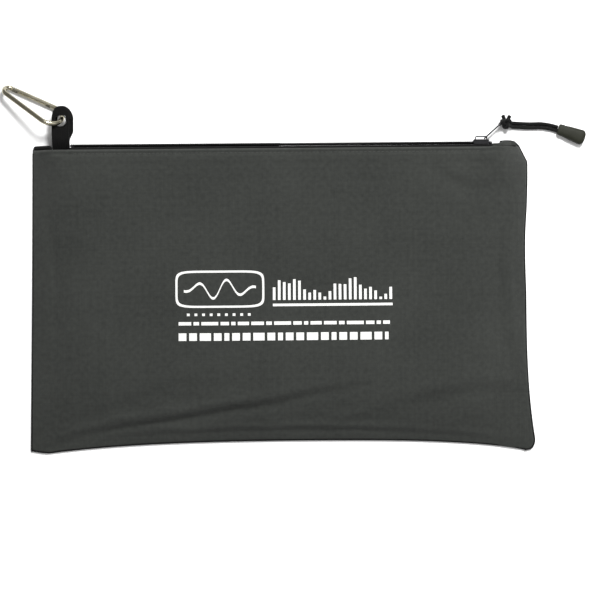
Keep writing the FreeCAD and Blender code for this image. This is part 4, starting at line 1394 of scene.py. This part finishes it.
class POUCH_OT_stage(Operator):
    """Lays the pale table and hangs the soft lights."""

    bl_idname = "pouch.stage"
    bl_label = "Stage"

    def execute(self, context):
        stage = context.scene.pouch_stage
        flat = grid_uv([-TABLE_HALF, TABLE_HALF], [-TABLE_HALF, TABLE_HALF])
        corners = np.concatenate([flat, np.full((2, 2, 1), TABLE_Z)], 2)
        floor = make_object("table", [grid_patch(corners, flat)], MATERIALS["floor"])
        lights = (
            ("key", (0.3, 0.75, 0.95), 0.35, stage.key_power),
            ("fill", (0.9, 0.1, 1.2), 1.2, stage.key_power * 0.16),
            ("front", (-0.3, -0.9, 0.9), 1.0, stage.key_power * 0.08),
        )
        for name, place, width, power in lights:
            data = bpy.data.lights.new(name, "AREA")
            data.shape = "SQUARE"
            data.size = width
            data.energy = power
            lamp = bpy.data.objects.new(name, data)
            context.scene.collection.objects.link(lamp)
            lamp.location = place
            lamp.rotation_euler = (Vector((0, 0, 0)) - Vector(place)).to_track_quat("-Z", "Y").to_euler()
        world = bpy.data.worlds.new("studio")
        context.scene.world = world
        world.use_nodes = True
        background = world.node_tree.nodes["Background"].inputs
        background["Color"].default_value = linear("#ffffff")
        background["Strength"].default_value = 0.32
        context.scene.view_settings.view_transform = "Standard"
        return {"FINISHED"}


class POUCH_PT_panel(Panel):
    """Buttons for every step, in order."""

    bl_label = "Pouch"
    bl_idname = "POUCH_PT_panel"
    bl_space_type = "VIEW_3D"
    bl_region_type = "UI"
    bl_category = "Pouch"

    def draw(self, context):
        for step in STEPS:
            self.layout.operator(step.bl_idname)
        for settings in (context.scene.pouch_cloth, context.scene.pouch_trim, context.scene.pouch_stage):
            for key in settings.__annotations__:
                self.layout.prop(settings, key)


STEPS = (
    POUCH_OT_camera,
    POUCH_OT_cord,
    POUCH_OT_front,
    POUCH_OT_back,
    POUCH_OT_zip,
    POUCH_OT_sewing,
    POUCH_OT_print,
    POUCH_OT_pull,
    POUCH_OT_tab,
    POUCH_OT_carabiner,
    POUCH_OT_stage,
)
SETTINGS = (PouchClothSettings, PouchTrimSettings, PouchStageSettings)


def register():
    """Registers the settings, the operators and the panel."""
    for item in SETTINGS + STEPS + (POUCH_PT_panel,):
        bpy.utils.register_class(item)
    bpy.types.Scene.pouch_cloth = PointerProperty(type=PouchClothSettings)
    bpy.types.Scene.pouch_trim = PointerProperty(type=PouchTrimSettings)
    bpy.types.Scene.pouch_stage = PointerProperty(type=PouchStageSettings)


def unregister():
    """Takes them all away again."""
    del bpy.types.Scene.pouch_stage
    del bpy.types.Scene.pouch_trim
    del bpy.types.Scene.pouch_cloth
    for item in reversed(SETTINGS + STEPS + (POUCH_PT_panel,)):
        bpy.utils.unregister_class(item)


def main():
    """Builds every piece in order."""
    register()
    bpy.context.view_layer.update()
    make_materials()
    for step in STEPS:
        group, name = step.bl_idname.split(".")
        result = getattr(getattr(bpy.ops, group), name)()
        if result != {"FINISHED"}:
            raise RuntimeError(f"{step.bl_label} did not finish")


if __name__ == "__main__":
    main()
